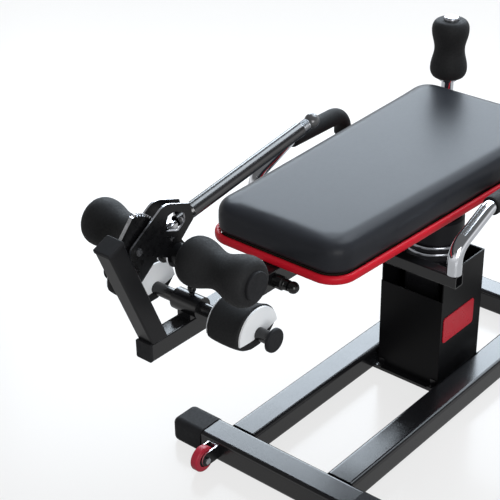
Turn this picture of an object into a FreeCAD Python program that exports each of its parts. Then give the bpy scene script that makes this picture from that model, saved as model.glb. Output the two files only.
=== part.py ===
import FreeCAD, Part
import math
import os
import re
import Sketcher

# Roman chair with a ratchet ankle clamp, in millimetres.
# X runs from the foot end (-) to the head end (+), Y across, Z up.
# The origin is on the floor under the middle of the whole machine.

Vector = FreeCAD.Vector
doc = FreeCAD.newDocument("roman_chair")

SIZES = {
    # base frame
    "foot_bar_x": -196.9,
    "base_length": 740,
    "base_half_width": 232,
    "frame_width": 56,
    "frame_height": 46,
    "frame_wall": 2.5,
    "frame_radius": 8,
    "frame_lift": 2,
    "rail_offset": 108,
    "cap_length": 69,
    "cap_wall": 2,
    "cap_end": 8,
    "cap_radius": 12,
    # transport wheels
    "wheel_radius": 24,
    "wheel_width": 15,
    "wheel_hub_radius": 14,
    "wheel_reach": 60,
    "wheel_offset": 130.5,
    "wheel_height": 25.5,
    "wheel_bolt_radius": 4,
    "bracket_gap": 17.6,
    "bracket_wall": 2.5,
    "bracket_top": 41,
    "bracket_bottom": 13,
    "running_clearance": 0.05,
    # housing and column
    "housing_x": 387,
    "housing_depth": 140,
    "housing_width": 138,
    "housing_bottom": 22,
    "housing_top": 265,
    "housing_wall": 2.5,
    "front_panel_top": 210,
    "panel_wall": 2,
    "stripe_low": 117,
    "stripe_tall": 54,
    "stripe_length": 104,
    "stripe_wall": 1.5,
    "foot_plate_wall": 6,
    "post_width": 80,
    "post_wall": 3,
    "drum_radius": 57,
    "drum_base": 270,
    "drum_top": 350,
    "drum_ring_radius": 61,
    "drum_ring_height": 7,
    "drum_ring_low": 286,
    "drum_ring_high": 300,
    "yoke_plate": 6,
    "yoke_half_length": 45,
    "yoke_inside": 35,
    "yoke_ear": 8,
    "yoke_eye_radius": 19,
    "tilt_height": 397,
    "tilt_shaft_radius": 10,
    "tilt_bearing_radius": 17,
    # bed
    "spine_wall": 2.7,
    "slide_gap": 0.3,
    "spine_height": 435,
    "mouth_x": -60,
    "pad_front": -29,
    "pad_length": 669,
    "pad_front_half": 135,
    "pad_rear_half": 167,
    "pad_corner": 45,
    "trim_rise": 1,
    "trim_height": 15,
    "trim_width": 11,
    "trim_proud": 3,
    "pad_height": 57,
    "pad_edge_radius": 26,
    "board_height": 12,
    "handle_offset": 210,
    "handle_radius": 12.5,
    "handle_bend": 34,
    "handle_front_x": 186,
    "handle_leg_top": 461,
    "handle_grip_x": 279,
    "handle_grip_height": 498,
    "handle_grip_end_x": 443,
    "handle_rear_x": 443,
    "handle_foam_radius": 16.5,
    "handle_foam_start": 287,
    "handle_foam_drop": 42,
    "stub_width": 22,
    "head_x": 679,
    "head_offset": 130.5,
    "head_bar_width": 40,
    "head_bar_height": 30,
    "head_bar_half": 158,
    "post_radius": 12,
    "post_top": 636,
    "head_roller_bottom": 517,
    "head_roller_length": 116,
    "head_roller_radius": 35,
    "head_roller_waist": 30,
    "head_cap_radius": 13,
    "pin_x": -35,
    "pin_radius": 4,
    "pin_barrel_radius": 11.5,
    "pin_barrel_length": 24,
    "pin_flange_radius": 9,
    "pin_flange_width": 5,
    "pin_ball_radius": 10,
    # foot boom and arm
    "boom_width": 30,
    "boom_wall": 2,
    "boom_x": -305,
    "boom_length": 485,
    "boom_cap_wall": 4,
    "hole_pitch": 20,
    "arm_lean": 22,
    "arm_length": 190,
    "arm_cap_wall": 6,
    # ratchet
    "ratchet_stand": 18,
    "ratchet_height": 607,
    "sector_radius": 51.5,
    "sector_wall": 6,
    "tooth_depth": 3.2,
    "plate_inside": 8.5,
    "plate_wall": 3,
    "ratchet_bolt_radius": 3,
    "bolt_rim": 2.5,
    "bolt_head": 3,
    "nut_height": 4,
    "pawl_wall": 8,
    # clamp
    "clamp_axle_x": 76,
    "clamp_axle_drop": 35,
    "clamp_axle_radius": 10,
    "clamp_hub_radius": 16,
    "clamp_hub_half": 31,
    "foot_roller_inner": 33,
    "foot_roller_length": 123,
    "foot_roller_radius": 36,
    "foot_roller_waist": 27,
    "foot_cap_radius": 22,
    "foot_cap_wall": 5,
    "lever_x": 88,
    "lever_height": 7.5,
    "lever_lean": 8.9,
    "lever_length": 283,
    "lever_radius": 11.5,
    "lever_wall": 2,
    "lever_neck": 24,
    "knob_rod_radius": 3,
    "spring_pitch": 3.5,
    "spring_ribs": 5,
    "knob_radius": 12,
    "fork_pin_x": 68,
    "fork_pin_height": 4.4,
    "fork_pin_radius": 2.2,
    "pawl_pin_x": 68,
    "pawl_pin_height": -10,
    "pawl_pin_radius": 3,
    # heel bar
    "heel_x": -209,
    "heel_rise": 19,
    "heel_axle_radius": 10,
    "heel_axle_half": 159,
    "heel_cap_radius": 18.5,
    "heel_cap_wall": 6,
    "sleeve_radius": 17,
    "sleeve_half": 25,
    "heel_plate_radius": 41,
    "heel_plate_wall": 3,
    "heel_plate_drop": 4.5,
    "heel_plate_inner": 69,
    "heel_plate_outer": 133,
    "heel_foam_radius": 45,
    "heel_foam_drop": 24,
    "heel_tip": 6,
    "thumb_screw_y": -5,
    "thumb_screw_radius": 4,
    "thumb_knob_radius": 6.5,
    "thumb_knob_height": 11,
    # spaces between parts that move against each other
    "gap": 0.4,
}

sheet = doc.addObject("Spreadsheet::Sheet", "sizes")
for row, (alias, number) in enumerate(SIZES.items(), start=1):
    sheet.set(f"A{row}", alias)
    sheet.set(f"B{row}", str(number))
    sheet.setAlias(f"B{row}", alias)
doc.recompute()

sub_parts = []


# ---------------------------------------------------------------- helpers


def bound(text):
    """An expression in the sheet's aliases, as other objects of the document write it."""
    return re.sub(r"[a-z_]{3,}", lambda m: "sizes." + m.group(0) if m.group(0) in SIZES else m.group(0), str(text))


def number(text):
    """The present value of an expression in the sheet's aliases."""
    return float(sheet.evalExpression(str(text)))


def keep(thing, label):
    """Marks an object as a finished sub-part and names it."""
    thing.Label = label
    sub_parts.append(thing)
    return thing


def put(thing, at, turn=None):
    """Binds an object's place to three expressions and may turn it: (axis, degrees)."""
    if turn:
        axis, angle = turn
        thing.Placement = FreeCAD.Placement(Vector(0, 0, 0), FreeCAD.Rotation(Vector(*axis), number(angle)))
        if not str(angle).lstrip("-").isdigit():
            thing.setExpression("Placement.Rotation.Angle", bound(angle))
    for name, text in zip("xyz", at):
        thing.setExpression("Placement.Base." + name, bound(text))
    return thing


def block(name, size, at, turn=None):
    """A box whose lowest corner is at a point, before it is turned about that point."""
    thing = doc.addObject("Part::Box", name)
    for side, text in zip(("Length", "Width", "Height"), size):
        thing.setExpression(side, bound(text))
    put(thing, at, turn)
    doc.recompute()
    return thing


TURNS = {"x": ((0, 1, 0), 90), "y": ((1, 0, 0), -90), "z": None}


def rod(name, radius, length, start, along="z"):
    """A cylinder that starts at a point and runs along +X, +Y or +Z."""
    thing = doc.addObject("Part::Cylinder", name)
    thing.setExpression("Radius", bound(radius))
    thing.setExpression("Height", bound(length))
    put(thing, start, TURNS[along])
    doc.recompute()
    return thing


def ball(name, radius, at):
    thing = doc.addObject("Part::Sphere", name)
    thing.setExpression("Radius", bound(radius))
    put(thing, at)
    doc.recompute()
    return thing


def hexagon(name, radius, length, start, along="y"):
    """A hexagonal bolt head or nut."""
    thing = doc.addObject("Part::Prism", name)
    thing.Polygon = 6
    thing.setExpression("Circumradius", bound(radius))
    thing.setExpression("Height", bound(length))
    put(thing, start, TURNS[along])
    doc.recompute()
    return thing


def union(name, *things):
    joined = doc.addObject("Part::MultiFuse", name)
    joined.Shapes = list(things)
    doc.recompute()
    return joined


def group(name, *things):
    """Separate solids in one sub-part."""
    together = doc.addObject("Part::Compound", name)
    together.Links = list(things)
    doc.recompute()
    return together


def minus(name, base, tool):
    left = doc.addObject("Part::Cut", name)
    left.Base = base
    left.Tool = tool
    doc.recompute()
    return left


def edges_where(shape, test):
    return [index for index, edge in enumerate(shape.Edges, start=1) if test(edge)]


def runs_along(axis):
    """A test for straight edges that are parallel to an axis."""

    def test(edge):
        line = isinstance(edge.Curve, Part.Line)
        return line and abs(edge.tangentAt(edge.FirstParameter).dot(axis)) > 0.99

    return test


X_AXIS = Vector(1, 0, 0)
Y_AXIS = Vector(0, 1, 0)
Z_AXIS = Vector(0, 0, 1)


def rounded(name, base, radius, test):
    """Rounds the edges of a solid that pass a test."""
    smooth = doc.addObject("Part::Fillet", name)
    smooth.Base = base
    size = number(radius)
    smooth.Edges = [(index, size, size) for index in edges_where(base.Shape, test)]
    doc.recompute()
    return smooth


def box_tube(label, size, at, axis, wall, radius):
    """A hollow rectangular tube with rounded corners, open at both ends."""
    run = [abs(axis.x), abs(axis.y), abs(axis.z)].index(1.0)
    inner_size = [text if i == run else f"{text} - 2 * {wall}" for i, text in enumerate(size)]
    inner_at = [text if i == run else f"{text} + {wall}" for i, text in enumerate(at)]
    outer = rounded(label + "_outer_round", block(label + "_outer", size, at), radius, runs_along(axis))
    core = block(label + "_inner", inner_size, inner_at)
    inner = rounded(label + "_inner_round", core, f"{radius} - {wall} / 2", runs_along(axis))
    return minus(label, outer, inner)


def body(label):
    return doc.addObject("PartDesign::Body", label)


def sketch_on(owner, role, name, offset="0"):
    """A sketch on one of a body's own origin planes, moved along that plane's normal."""
    plane = [f for f in owner.Origin.OriginFeatures if f.Role == role][0]
    sketch = owner.newObject("Sketcher::SketchObject", name)
    sketch.AttachmentSupport = (plane, "")
    sketch.MapMode = "FlatFace"
    sketch.setExpression("AttachmentOffset.Base.z", bound(offset))
    return sketch


def pin_point(sketch, geo, pos, at, name):
    """Holds a sketch point at two expressions, measured from the sketch's origin."""
    for side, text in zip("XY", at):
        value = number(text)
        index = sketch.addConstraint(Sketcher.Constraint("Distance" + side, -1, 1, geo, pos, value))
        sketch.renameConstraint(index, name + side)
        sketch.setExpression(f"Constraints.{name}{side}", bound(text))


def end_at(geometry, point):
    return 1 if (geometry.StartPoint - point).Length < 1e-6 else 2


def outline(sketch, points, arcs=None):
    """A closed outline through points; arcs maps a side's number to the height of its bulge, + to the right."""
    arcs = arcs or {}
    places = [Vector(number(a), number(b), 0) for a, b in points]
    count = len(places)
    for i, here in enumerate(places):
        there = places[(i + 1) % count]
        if i in arcs:
            run = there - here
            out = Vector(run.y, -run.x, 0).normalize() * number(arcs[i])
            ends = (here, there) if number(arcs[i]) > 0 else (there, here)
            sketch.addGeometry(Part.Arc(ends[0], (here + there) * 0.5 + out, ends[1]))
        else:
            sketch.addGeometry(Part.LineSegment(here, there))
    for i, text in enumerate(points):
        pin_point(sketch, i, end_at(sketch.Geometry[i], places[i]), text, f"p{i}")
    for i in range(count):
        after = (i + 1) % count
        corner = places[after]
        ends = end_at(sketch.Geometry[i], corner), end_at(sketch.Geometry[after], corner)
        sketch.addConstraint(Sketcher.Constraint("Coincident", i, ends[0], after, ends[1]))
    for i, bulge in arcs.items():
        chord = f"sqrt(({points[i][0]} - ({points[(i + 1) % count][0]}))^2"
        chord += f" + ({points[i][1]} - ({points[(i + 1) % count][1]}))^2)"
        radius = f"({chord} * {chord} / 4 + ({bulge})^2) / (2 * abs({bulge}))"
        index = sketch.addConstraint(Sketcher.Constraint("Radius", i, number(radius)))
        sketch.renameConstraint(index, f"r{i}")
        sketch.setExpression(f"Constraints.r{i}", bound(radius))
    doc.recompute()
    return sketch


def circle(sketch, centre, radius, name="c"):
    place = Vector(number(centre[0]), number(centre[1]), 0)
    geo = sketch.addGeometry(Part.Circle(place, Z_AXIS, number(radius)))
    pin_point(sketch, geo, 3, centre, name)
    index = sketch.addConstraint(Sketcher.Constraint("Radius", geo, number(radius)))
    sketch.renameConstraint(index, name + "r")
    sketch.setExpression(f"Constraints.{name}r", bound(radius))
    doc.recompute()
    return sketch


def bent_path(sketch, points, bend):
    """A run of straight lines joined by tangent arcs of one radius."""
    places = [Vector(number(a), number(b), 0) for a, b in points]
    radius = number(bend)
    starts, ends = [places[0]], []
    for before, here, after in zip(places, places[1:], places[2:]):
        back = (before - here).normalize()
        on = (after - here).normalize()
        reach = radius / math.tan(back.getAngle(on) / 2)
        ends.append(here + back * reach)
        starts.append(here + on * reach)
    ends.append(places[-1])
    lines = [sketch.addGeometry(Part.LineSegment(a, b)) for a, b in zip(starts, ends)]
    for i, here in enumerate(places[1:-1]):
        middle = (ends[i] + starts[i + 1]) * 0.5
        inward = (middle - here).normalize()
        half = (starts[i + 1] - ends[i]).Length / 2
        reach = (ends[i] - here).Length
        centre = here + inward * math.hypot(radius, reach)
        assert half < radius
        left_turn = (here - places[i]).cross(places[i + 2] - here).z > 0
        first, last = (ends[i], starts[i + 1]) if left_turn else (starts[i + 1], ends[i])
        arc = sketch.addGeometry(Part.Arc(first, centre - inward * radius, last))
        shape = sketch.Geometry[arc]
        sketch.addConstraint(Sketcher.Constraint("Tangent", lines[i], 2, arc, end_at(shape, ends[i])))
        sketch.addConstraint(Sketcher.Constraint("Tangent", lines[i + 1], 1, arc, end_at(shape, starts[i + 1])))
        index = sketch.addConstraint(Sketcher.Constraint("Radius", arc, radius))
        sketch.renameConstraint(index, f"r{i}")
        sketch.setExpression(f"Constraints.r{i}", bound(bend))
        corner = sketch.addGeometry(Part.Point(here), True)
        pin_point(sketch, corner, 1, points[i + 1], f"v{i}")
        sketch.addConstraint(Sketcher.Constraint("PointOnObject", corner, 1, lines[i]))
        sketch.addConstraint(Sketcher.Constraint("PointOnObject", corner, 1, lines[i + 1]))
    pin_point(sketch, lines[0], 1, points[0], "first")
    pin_point(sketch, lines[-1], 2, points[-1], "last")
    doc.recompute()
    return sketch


def pad(owner, sketch, length, midplane=False):
    feature = owner.newObject("PartDesign::Pad", sketch.Name + "_pad")
    feature.Profile = sketch
    feature.setExpression("Length", bound(length))
    feature.Midplane = midplane
    doc.recompute()
    return feature


def pocket(owner, sketch, length=None, reverse=False):
    """Cuts a sketch away, through everything both ways unless a length is given."""
    before = owner.Shape.Volume
    feature = owner.newObject("PartDesign::Pocket", sketch.Name + "_pocket")
    feature.Profile = sketch
    if length is None:
        feature.Type = "ThroughAll"
        feature.Midplane = True
    else:
        feature.setExpression("Length", bound(length))
        feature.Midplane = not reverse
        feature.Reversed = reverse
    doc.recompute()
    assert owner.Shape.Volume < before - 1, sketch.Name
    return feature


def revolved(label, role, points, at, arcs=None, turn=None, axis="V_Axis"):
    """A turned piece: an outline of (radius, height) points spun about the sketch's upright axis."""
    owner = body(label)
    sketch = outline(sketch_on(owner, role, label + "_profile"), points, arcs)
    spin = owner.newObject("PartDesign::Revolution", label + "_turned")
    spin.Profile = sketch
    spin.ReferenceAxis = (sketch, [axis])
    spin.Angle = 360
    doc.recompute()
    put(owner, at, turn)
    doc.recompute()
    return owner


def smooth_edges(owner, radius, test):
    """Rounds a body's own edges that pass a test."""
    last = owner.Tip
    feature = owner.newObject("PartDesign::Fillet", owner.Name + f"_round{len(owner.Group)}")
    names = [f"Edge{index}" for index in edges_where(last.Shape, test)]
    feature.Base = (last, names)
    feature.setExpression("Radius", bound(radius))
    doc.recompute()
    return feature


SIDES = (("left", 1), ("right", -1))

# Named places that many pieces share.
FRAME_TOP = "(frame_lift + frame_height)"
REAR_BAR_X = "(foot_bar_x + base_length)"
COLUMN_X = "(foot_bar_x + housing_x + housing_depth / 2)"
SPINE_WIDTH = "(boom_width + 2 * spine_wall + 2 * slide_gap)"
SPINE_HALF = f"({SPINE_WIDTH} / 2)"
SPINE_TOP = f"(spine_height + {SPINE_HALF})"
SPINE_BOTTOM = f"(spine_height - {SPINE_HALF})"
TRIM_BOTTOM = f"({SPINE_TOP} + trim_rise)"
TRIM_TOP = f"({TRIM_BOTTOM} + trim_height)"
BOOM_TOP = "(spine_height + boom_width / 2)"
BOOM_BOTTOM = "(spine_height - boom_width / 2)"
ARM_FACE_X = f"(foot_bar_x + boom_x + boom_width / cos(arm_lean) - (ratchet_height - {BOOM_TOP}) * tan(arm_lean))"
RATCHET_X = f"({ARM_FACE_X} + ratchet_stand)"
CLAMP_X = f"({RATCHET_X} + clamp_axle_x)"
CLAMP_Z = "(ratchet_height - clamp_axle_drop)"
HEEL_X = "(foot_bar_x + heel_x)"
HEEL_HEIGHT = f"({BOOM_TOP} + heel_rise)"
HEAD_X = "(foot_bar_x + head_x)"
PIN_X = "(foot_bar_x + pin_x)"


# ---------------------------------------------------------------- base frame


def crossbar(label, centre_x):
    size = ("frame_width", "2 * (base_half_width - cap_end)", "frame_height")
    at = (f"{centre_x} - frame_width / 2", "-(base_half_width - cap_end)", "frame_lift")
    return keep(box_tube(label, size, at, Y_AXIS, "frame_wall", "frame_radius"), label)


def rail(label, side):
    size = ("base_length - frame_width", "frame_width", "frame_height")
    at = ("foot_bar_x + frame_width / 2", f"{side} * rail_offset - frame_width / 2", "frame_lift")
    return keep(box_tube(label, size, at, X_AXIS, "frame_wall", "frame_radius"), label)


def end_cap(label, centre_x, side):
    """A moulded cap that sleeves the crossbar's end and is the foot it stands on."""
    start = "base_half_width - cap_length" if side > 0 else "-base_half_width"
    wide = "frame_width + 2 * cap_wall"
    high = "frame_height + 2 * cap_wall"
    outside = block(label + "_outside", (wide, "cap_length", high), (f"{centre_x} - ({wide}) / 2", start, "0"))
    end_y = side * number("base_half_width")
    shell = rounded(
        label + "_shell",
        outside,
        "cap_radius",
        lambda e: runs_along(Y_AXIS)(e) or abs(e.CenterOfMass.y - end_y) < 0.1,
    )
    bore_start = start if side > 0 else f"{start} + cap_end"
    tube = block(
        label + "_tube",
        ("frame_width", "cap_length - cap_end", "frame_height"),
        (f"{centre_x} - frame_width / 2", bore_start, "frame_lift"),
    )
    core = rounded(label + "_core", tube, "frame_radius", runs_along(Y_AXIS))
    return minus(label, shell, core)


caps = []
for bar, bar_x in (("front", "foot_bar_x"), ("rear", REAR_BAR_X)):
    crossbar(f"{bar}_crossbar", bar_x)
    caps += [end_cap(f"{bar}_{hand}_end_cap", bar_x, side) for hand, side in SIDES]
keep(group("end_caps", *caps), "end_caps")
for hand, side in SIDES:
    rail(f"{hand}_rail", side)


# ---------------------------------------------------------------- transport wheels


def wheel_bracket(label, side):
    """A bent steel fork on the foot-end face of the front crossbar."""
    owner = body(label)
    face = "-frame_width / 2"
    corners = [
        (face, "bracket_top"),
        ("-(wheel_reach - 2)", "bracket_top"),
        ("-(wheel_reach - 2)", "bracket_bottom"),
        (face, "bracket_bottom"),
    ]
    side_view = outline(sketch_on(owner, "XZ_Plane", label + "_side"), corners, {1: "13"})
    pad(owner, side_view, "bracket_gap + 2 * bracket_wall", True)
    gap_corners = [
        (f"{face} - bracket_wall", "bracket_top + 5"),
        ("-(wheel_reach + 30)", "bracket_top + 5"),
        ("-(wheel_reach + 30)", "bracket_bottom - 5"),
        (f"{face} - bracket_wall", "bracket_bottom - 5"),
    ]
    pocket(owner, outline(sketch_on(owner, "XZ_Plane", label + "_gap"), gap_corners), "bracket_gap")
    hole = circle(sketch_on(owner, "XZ_Plane", label + "_hole"), ("-wheel_reach", "wheel_height"), "wheel_bolt_radius")
    pocket(owner, hole)
    put(owner, ("foot_bar_x", f"{side} * wheel_offset", "0"))
    doc.recompute()
    return owner


def wheel_bolt(label, side):
    """The wheel's axle bolt, with its head on the inner side and a nut on the outer side."""
    x = "foot_bar_x - wheel_reach"
    half = "(bracket_gap / 2 + bracket_wall)"
    y = f"{side} * wheel_offset"
    shank = rod(label + "_shank", "wheel_bolt_radius", f"2 * {half} + 8", (x, f"{y} - {half} - 4", "wheel_height"), "y")
    head = hexagon(label + "_head", "6.5", "4", (x, f"{y} - {half} - 4", "wheel_height"))
    nut = hexagon(label + "_nut", "6.5", "4", (x, f"{y} + {half}", "wheel_height"))
    return union(label, shank, head, nut)


def wheel(hand, side):
    x = "foot_bar_x - wheel_reach"
    at = (x, f"{side} * wheel_offset", "wheel_height")
    half = "wheel_width / 2"
    tyre = revolved(
        f"{hand}_wheel_tyre",
        "XY_Plane",
        [
            ("wheel_hub_radius", f"-{half}"),
            ("wheel_radius - 3", f"-{half}"),
            ("wheel_radius", f"-{half} + 3"),
            ("wheel_radius", f"{half} - 3"),
            ("wheel_radius - 3", half),
            ("wheel_hub_radius", half),
        ],
        at,
        {1: "0.88", 3: "0.88"},
    )
    keep(tyre, f"{hand}_wheel_tyre")
    hub_half = "(wheel_width / 2 + 0.7)"
    hub = revolved(
        f"{hand}_wheel_hub",
        "XY_Plane",
        [
            ("wheel_bolt_radius + running_clearance", f"-{hub_half}"),
            ("wheel_bolt_radius + 4", f"-{hub_half}"),
            ("wheel_bolt_radius + 4", f"-{half} + 2"),
            ("wheel_hub_radius", f"-{half} + 2"),
            ("wheel_hub_radius", f"{half} - 2"),
            ("wheel_bolt_radius + 4", f"{half} - 2"),
            ("wheel_bolt_radius + 4", hub_half),
            ("wheel_bolt_radius + running_clearance", hub_half),
        ],
        at,
    )
    keep(hub, f"{hand}_wheel_hub")


brackets = [wheel_bracket(f"{hand}_wheel_bracket", side) for hand, side in SIDES]
keep(group("wheel_brackets", *brackets), "wheel_brackets")
axles = [wheel_bolt(f"{hand}_wheel_bolt", side) for hand, side in SIDES]
keep(group("wheel_bolts", *axles), "wheel_bolts")
for hand, side in SIDES:
    wheel(hand, side)


# ---------------------------------------------------------------- housing and column

HOUSING_X = "(foot_bar_x + housing_x)"


def foot_plate():
    """The steel plate between the rails that carries the column and the housing."""
    inside = "(rail_offset - frame_width / 2)"
    size = ("housing_depth + 26", f"2 * {inside}", "foot_plate_wall")
    at = (f"{HOUSING_X} - 13", f"-{inside}", "housing_bottom - foot_plate_wall")
    return block("foot_plate_sheet", size, at)


def housing_shell():
    """Sheet-steel sides and back in one bent piece, open at the front and top."""
    owner = body("housing_shell")
    half = "housing_width / 2"
    inside = "(housing_width / 2 - housing_wall)"
    corners = [
        ("panel_wall", half),
        ("panel_wall", inside),
        ("housing_depth - housing_wall", inside),
        ("housing_depth - housing_wall", f"-{inside}"),
        ("panel_wall", f"-{inside}"),
        ("panel_wall", f"-{half}"),
        ("housing_depth", f"-{half}"),
        ("housing_depth", half),
    ]
    plan = outline(sketch_on(owner, "XY_Plane", "housing_plan", "housing_bottom"), corners)
    pad(owner, plan, "housing_top - housing_bottom")
    put(owner, (HOUSING_X, "0", "0"))
    doc.recompute()
    return keep(owner, "housing_shell")


def front_panel():
    size = ("panel_wall", "housing_width", "front_panel_top - housing_bottom")
    at = (HOUSING_X, "-housing_width / 2", "housing_bottom")
    plate = block("front_panel_plate", size, at)
    return keep(rounded("front_panel", plate, "0.8", runs_along(Y_AXIS)), "front_panel")


def side_stripe(label, side):
    y = "housing_width / 2" if side > 0 else "-(housing_width / 2 + stripe_wall)"
    size = ("stripe_length", "stripe_wall", "stripe_tall")
    strip = block(label + "_strip", size, (f"{HOUSING_X} + 8", y, "stripe_low"))
    return rounded(label, strip, "6", runs_along(Y_AXIS))


def housing_cleats():
    """Small folded tabs that hold the front panel's lower corners to the foot plate."""
    tabs = []
    for hand, side in SIDES:
        y = f"{side} * (housing_width / 2 - 9) - 6"
        foot = block(f"cleat_foot_{hand}", ("13", "12", "2.5"), (f"{HOUSING_X} - 13", y, "housing_bottom"))
        back = block(f"cleat_back_{hand}", ("2", "12", "14"), (f"{HOUSING_X} - 2", y, "housing_bottom"))
        screw = rod(f"cleat_screw_{hand}", "3.2", "3", (f"{HOUSING_X} - 8", f"{y} + 6", "housing_bottom + 2.5"))
        tabs += [foot, back, screw]
    return tabs


def column_post():
    size = ("post_width", "post_width", "drum_base - housing_bottom")
    at = (f"{COLUMN_X} - post_width / 2", "-post_width / 2", "housing_bottom")
    return keep(box_tube("column_post", size, at, Z_AXIS, "post_wall", "frame_radius"), "column_post")


def drum():
    """The round stepped head of the column, with two bright bands let into it."""
    band = "(drum_ring_radius - 5)"
    ring_tops = [f"({low} + drum_ring_height)" for low in ("drum_ring_low", "drum_ring_high")]
    core = revolved(
        "column_drum",
        "XZ_Plane",
        [
            ("0", "drum_base"),
            ("drum_radius - 6", "drum_base"),
            ("drum_radius", "drum_base + 6"),
            ("drum_radius", "drum_ring_low"),
            (band, "drum_ring_low"),
            (band, ring_tops[0]),
            ("drum_radius + 1", ring_tops[0]),
            ("drum_radius + 1", "drum_ring_high"),
            (band, "drum_ring_high"),
            (band, ring_tops[1]),
            ("drum_radius - 2", ring_tops[1]),
            ("drum_radius - 3", "drum_top - 4"),
            ("drum_radius - 7", "drum_top"),
            ("0", "drum_top"),
        ],
        (COLUMN_X, "0", "0"),
        {1: "1.5"},
    )
    keep(core, "column_drum")
    rings = []
    for name, low in (("lower", "drum_ring_low"), ("upper", "drum_ring_high")):
        ring = revolved(
            f"drum_band_{name}",
            "XZ_Plane",
            [
                (band, low),
                ("drum_ring_radius - 1.5", low),
                ("drum_ring_radius - 1.5", f"{low} + drum_ring_height"),
                (band, f"{low} + drum_ring_height"),
            ],
            (COLUMN_X, "0", "0"),
            {1: "1.5"},
        )
        rings.append(ring)
    keep(group("drum_bands", *rings), "drum_bands")


def yoke():
    """Base plate and two ears that carry the tilt shaft."""
    plate = block(
        "yoke_base",
        ("2 * yoke_half_length", "2 * (yoke_inside + yoke_ear)", "yoke_plate"),
        (f"{COLUMN_X} - yoke_half_length", "-(yoke_inside + yoke_ear)", "drum_top"),
    )
    ears = []
    for hand, side in SIDES:
        owner = body(f"yoke_ear_{hand}")
        eighth = "yoke_eye_radius * (1 - cos(45))"
        corners = [
            ("-yoke_half_length", "drum_top"),
            ("yoke_half_length", "drum_top"),
            ("yoke_half_length", "drum_top + yoke_plate + 4"),
            ("yoke_eye_radius", "tilt_height"),
            ("0", "tilt_height + yoke_eye_radius"),
            ("-yoke_eye_radius", "tilt_height"),
            ("-yoke_half_length", "drum_top + yoke_plate + 4"),
        ]
        shape = outline(sketch_on(owner, "XZ_Plane", f"yoke_ear_{hand}_side"), corners, {3: eighth, 4: eighth})
        pad(owner, shape, "yoke_ear", True)
        put(owner, (COLUMN_X, f"{side} * (yoke_inside + yoke_ear / 2)", "0"))
        ears.append(owner)
    doc.recompute()
    whole = union("yoke_whole", plate, *ears)
    half = "(yoke_inside + yoke_ear + 2)"
    hole = rod("yoke_hole", "tilt_shaft_radius", f"2 * {half}", (COLUMN_X, f"-{half}", "tilt_height"), "y")
    return keep(minus("yoke", whole, hole), "yoke")


def tilt_shaft():
    """The bed's pivot, fixed in the yoke with a flanged head at one end and a nut at the other."""
    out = "(yoke_inside + yoke_ear)"
    shank = rod("tilt_shank", "tilt_shaft_radius", f"2 * {out} + 12", (COLUMN_X, f"-{out}", "tilt_height"), "y")
    head = rod("tilt_head", "tilt_shaft_radius + 5", "6", (COLUMN_X, f"-{out} - 6", "tilt_height"), "y")
    nut = hexagon("tilt_nut", "tilt_shaft_radius + 7", "10", (COLUMN_X, out, "tilt_height"))
    return keep(union("tilt_shaft", shank, head, nut), "tilt_shaft")


def drum_bolts():
    """Four cap screws that hold the yoke's plate to the drum."""
    screws = []
    for i, (sx, sy) in enumerate(((1, 1), (1, -1), (-1, 1), (-1, -1))):
        at = (f"{COLUMN_X} + {sx} * (yoke_half_length - 10)", f"{sy} * (yoke_inside - 10)", "drum_top + yoke_plate")
        screws.append(rod(f"drum_bolt_{i}", "5", "6", at))
    return keep(group("yoke_bolts", *screws), "yoke_bolts")


keep(union("foot_plate", foot_plate(), *housing_cleats()), "foot_plate")
housing_shell()
front_panel()
stripes = [side_stripe(f"{hand}_side_stripe", side) for hand, side in SIDES]
keep(group("side_stripes", *stripes), "side_stripes")
column_post()
drum()
yoke()
tilt_shaft()
drum_bolts()


# ---------------------------------------------------------------- bed


def pad_plan(owner, name, inset, height):
    """The bed's outline, narrower at the foot end, drawn a step inside the trim's outer edge."""
    front = f"foot_bar_x + pad_front + {inset}"
    rear = f"foot_bar_x + pad_front + pad_length - {inset}"
    corners = [
        (front, f"pad_front_half - {inset}"),
        (front, f"-(pad_front_half - {inset})"),
        (rear, f"-(pad_rear_half - {inset})"),
        (rear, f"pad_rear_half - {inset}"),
    ]
    return outline(sketch_on(owner, "XY_Plane", name, height), corners)


def bed_layer(label, inset, low, tall):
    """A slab with the bed's outline and round corners."""
    owner = body(label)
    pad(owner, pad_plan(owner, label + "_plan", inset, low), tall)
    smooth_edges(owner, f"pad_corner - {inset}", runs_along(Z_AXIS))
    return owner


def seat_pad():
    owner = bed_layer("seat_pad", "trim_proud", TRIM_TOP, "pad_height")
    top = number(f"{TRIM_TOP} + pad_height")
    smooth_edges(owner, "pad_edge_radius", lambda e: abs(e.BoundBox.ZMin - top) < 0.1)
    return keep(owner, "seat_pad")


def pad_board():
    return keep(bed_layer("pad_board", "trim_width", SPINE_TOP, "board_height + 4"), "pad_board")


def pad_trim():
    """A padded band round the foot of the cushion, over the board's edge."""
    ring = bed_layer("trim_outside", "0", TRIM_BOTTOM, "trim_height")
    low, high = number(TRIM_BOTTOM), number(TRIM_TOP)
    smooth_edges(
        ring, "4", lambda e: abs(e.BoundBox.ZMax - low) < 0.1 or abs(e.BoundBox.ZMin - high) < 0.1
    )
    hole = bed_layer("trim_inside", "trim_width", f"{TRIM_BOTTOM} - 5", "trim_height + 10")
    return keep(minus("pad_trim", ring, hole), "pad_trim")


def bed_spine():
    """The bed's backbone; its foot end is the receiver that the boom slides in."""
    size = ("head_x - head_bar_width / 2 - mouth_x", SPINE_WIDTH, SPINE_WIDTH)
    at = ("foot_bar_x + mouth_x", f"-{SPINE_HALF}", SPINE_BOTTOM)
    tube = box_tube("spine_tube", size, at, X_AXIS, "spine_wall", "4")
    hole_start = f"-({SPINE_HALF} + 2)"
    reach = "spine_wall + 4"
    hole = rod("spine_pin_hole", "pin_radius + running_clearance", reach, (PIN_X, hole_start, "spine_height"), "y")
    return keep(minus("bed_spine", tube, hole), "bed_spine")


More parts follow.
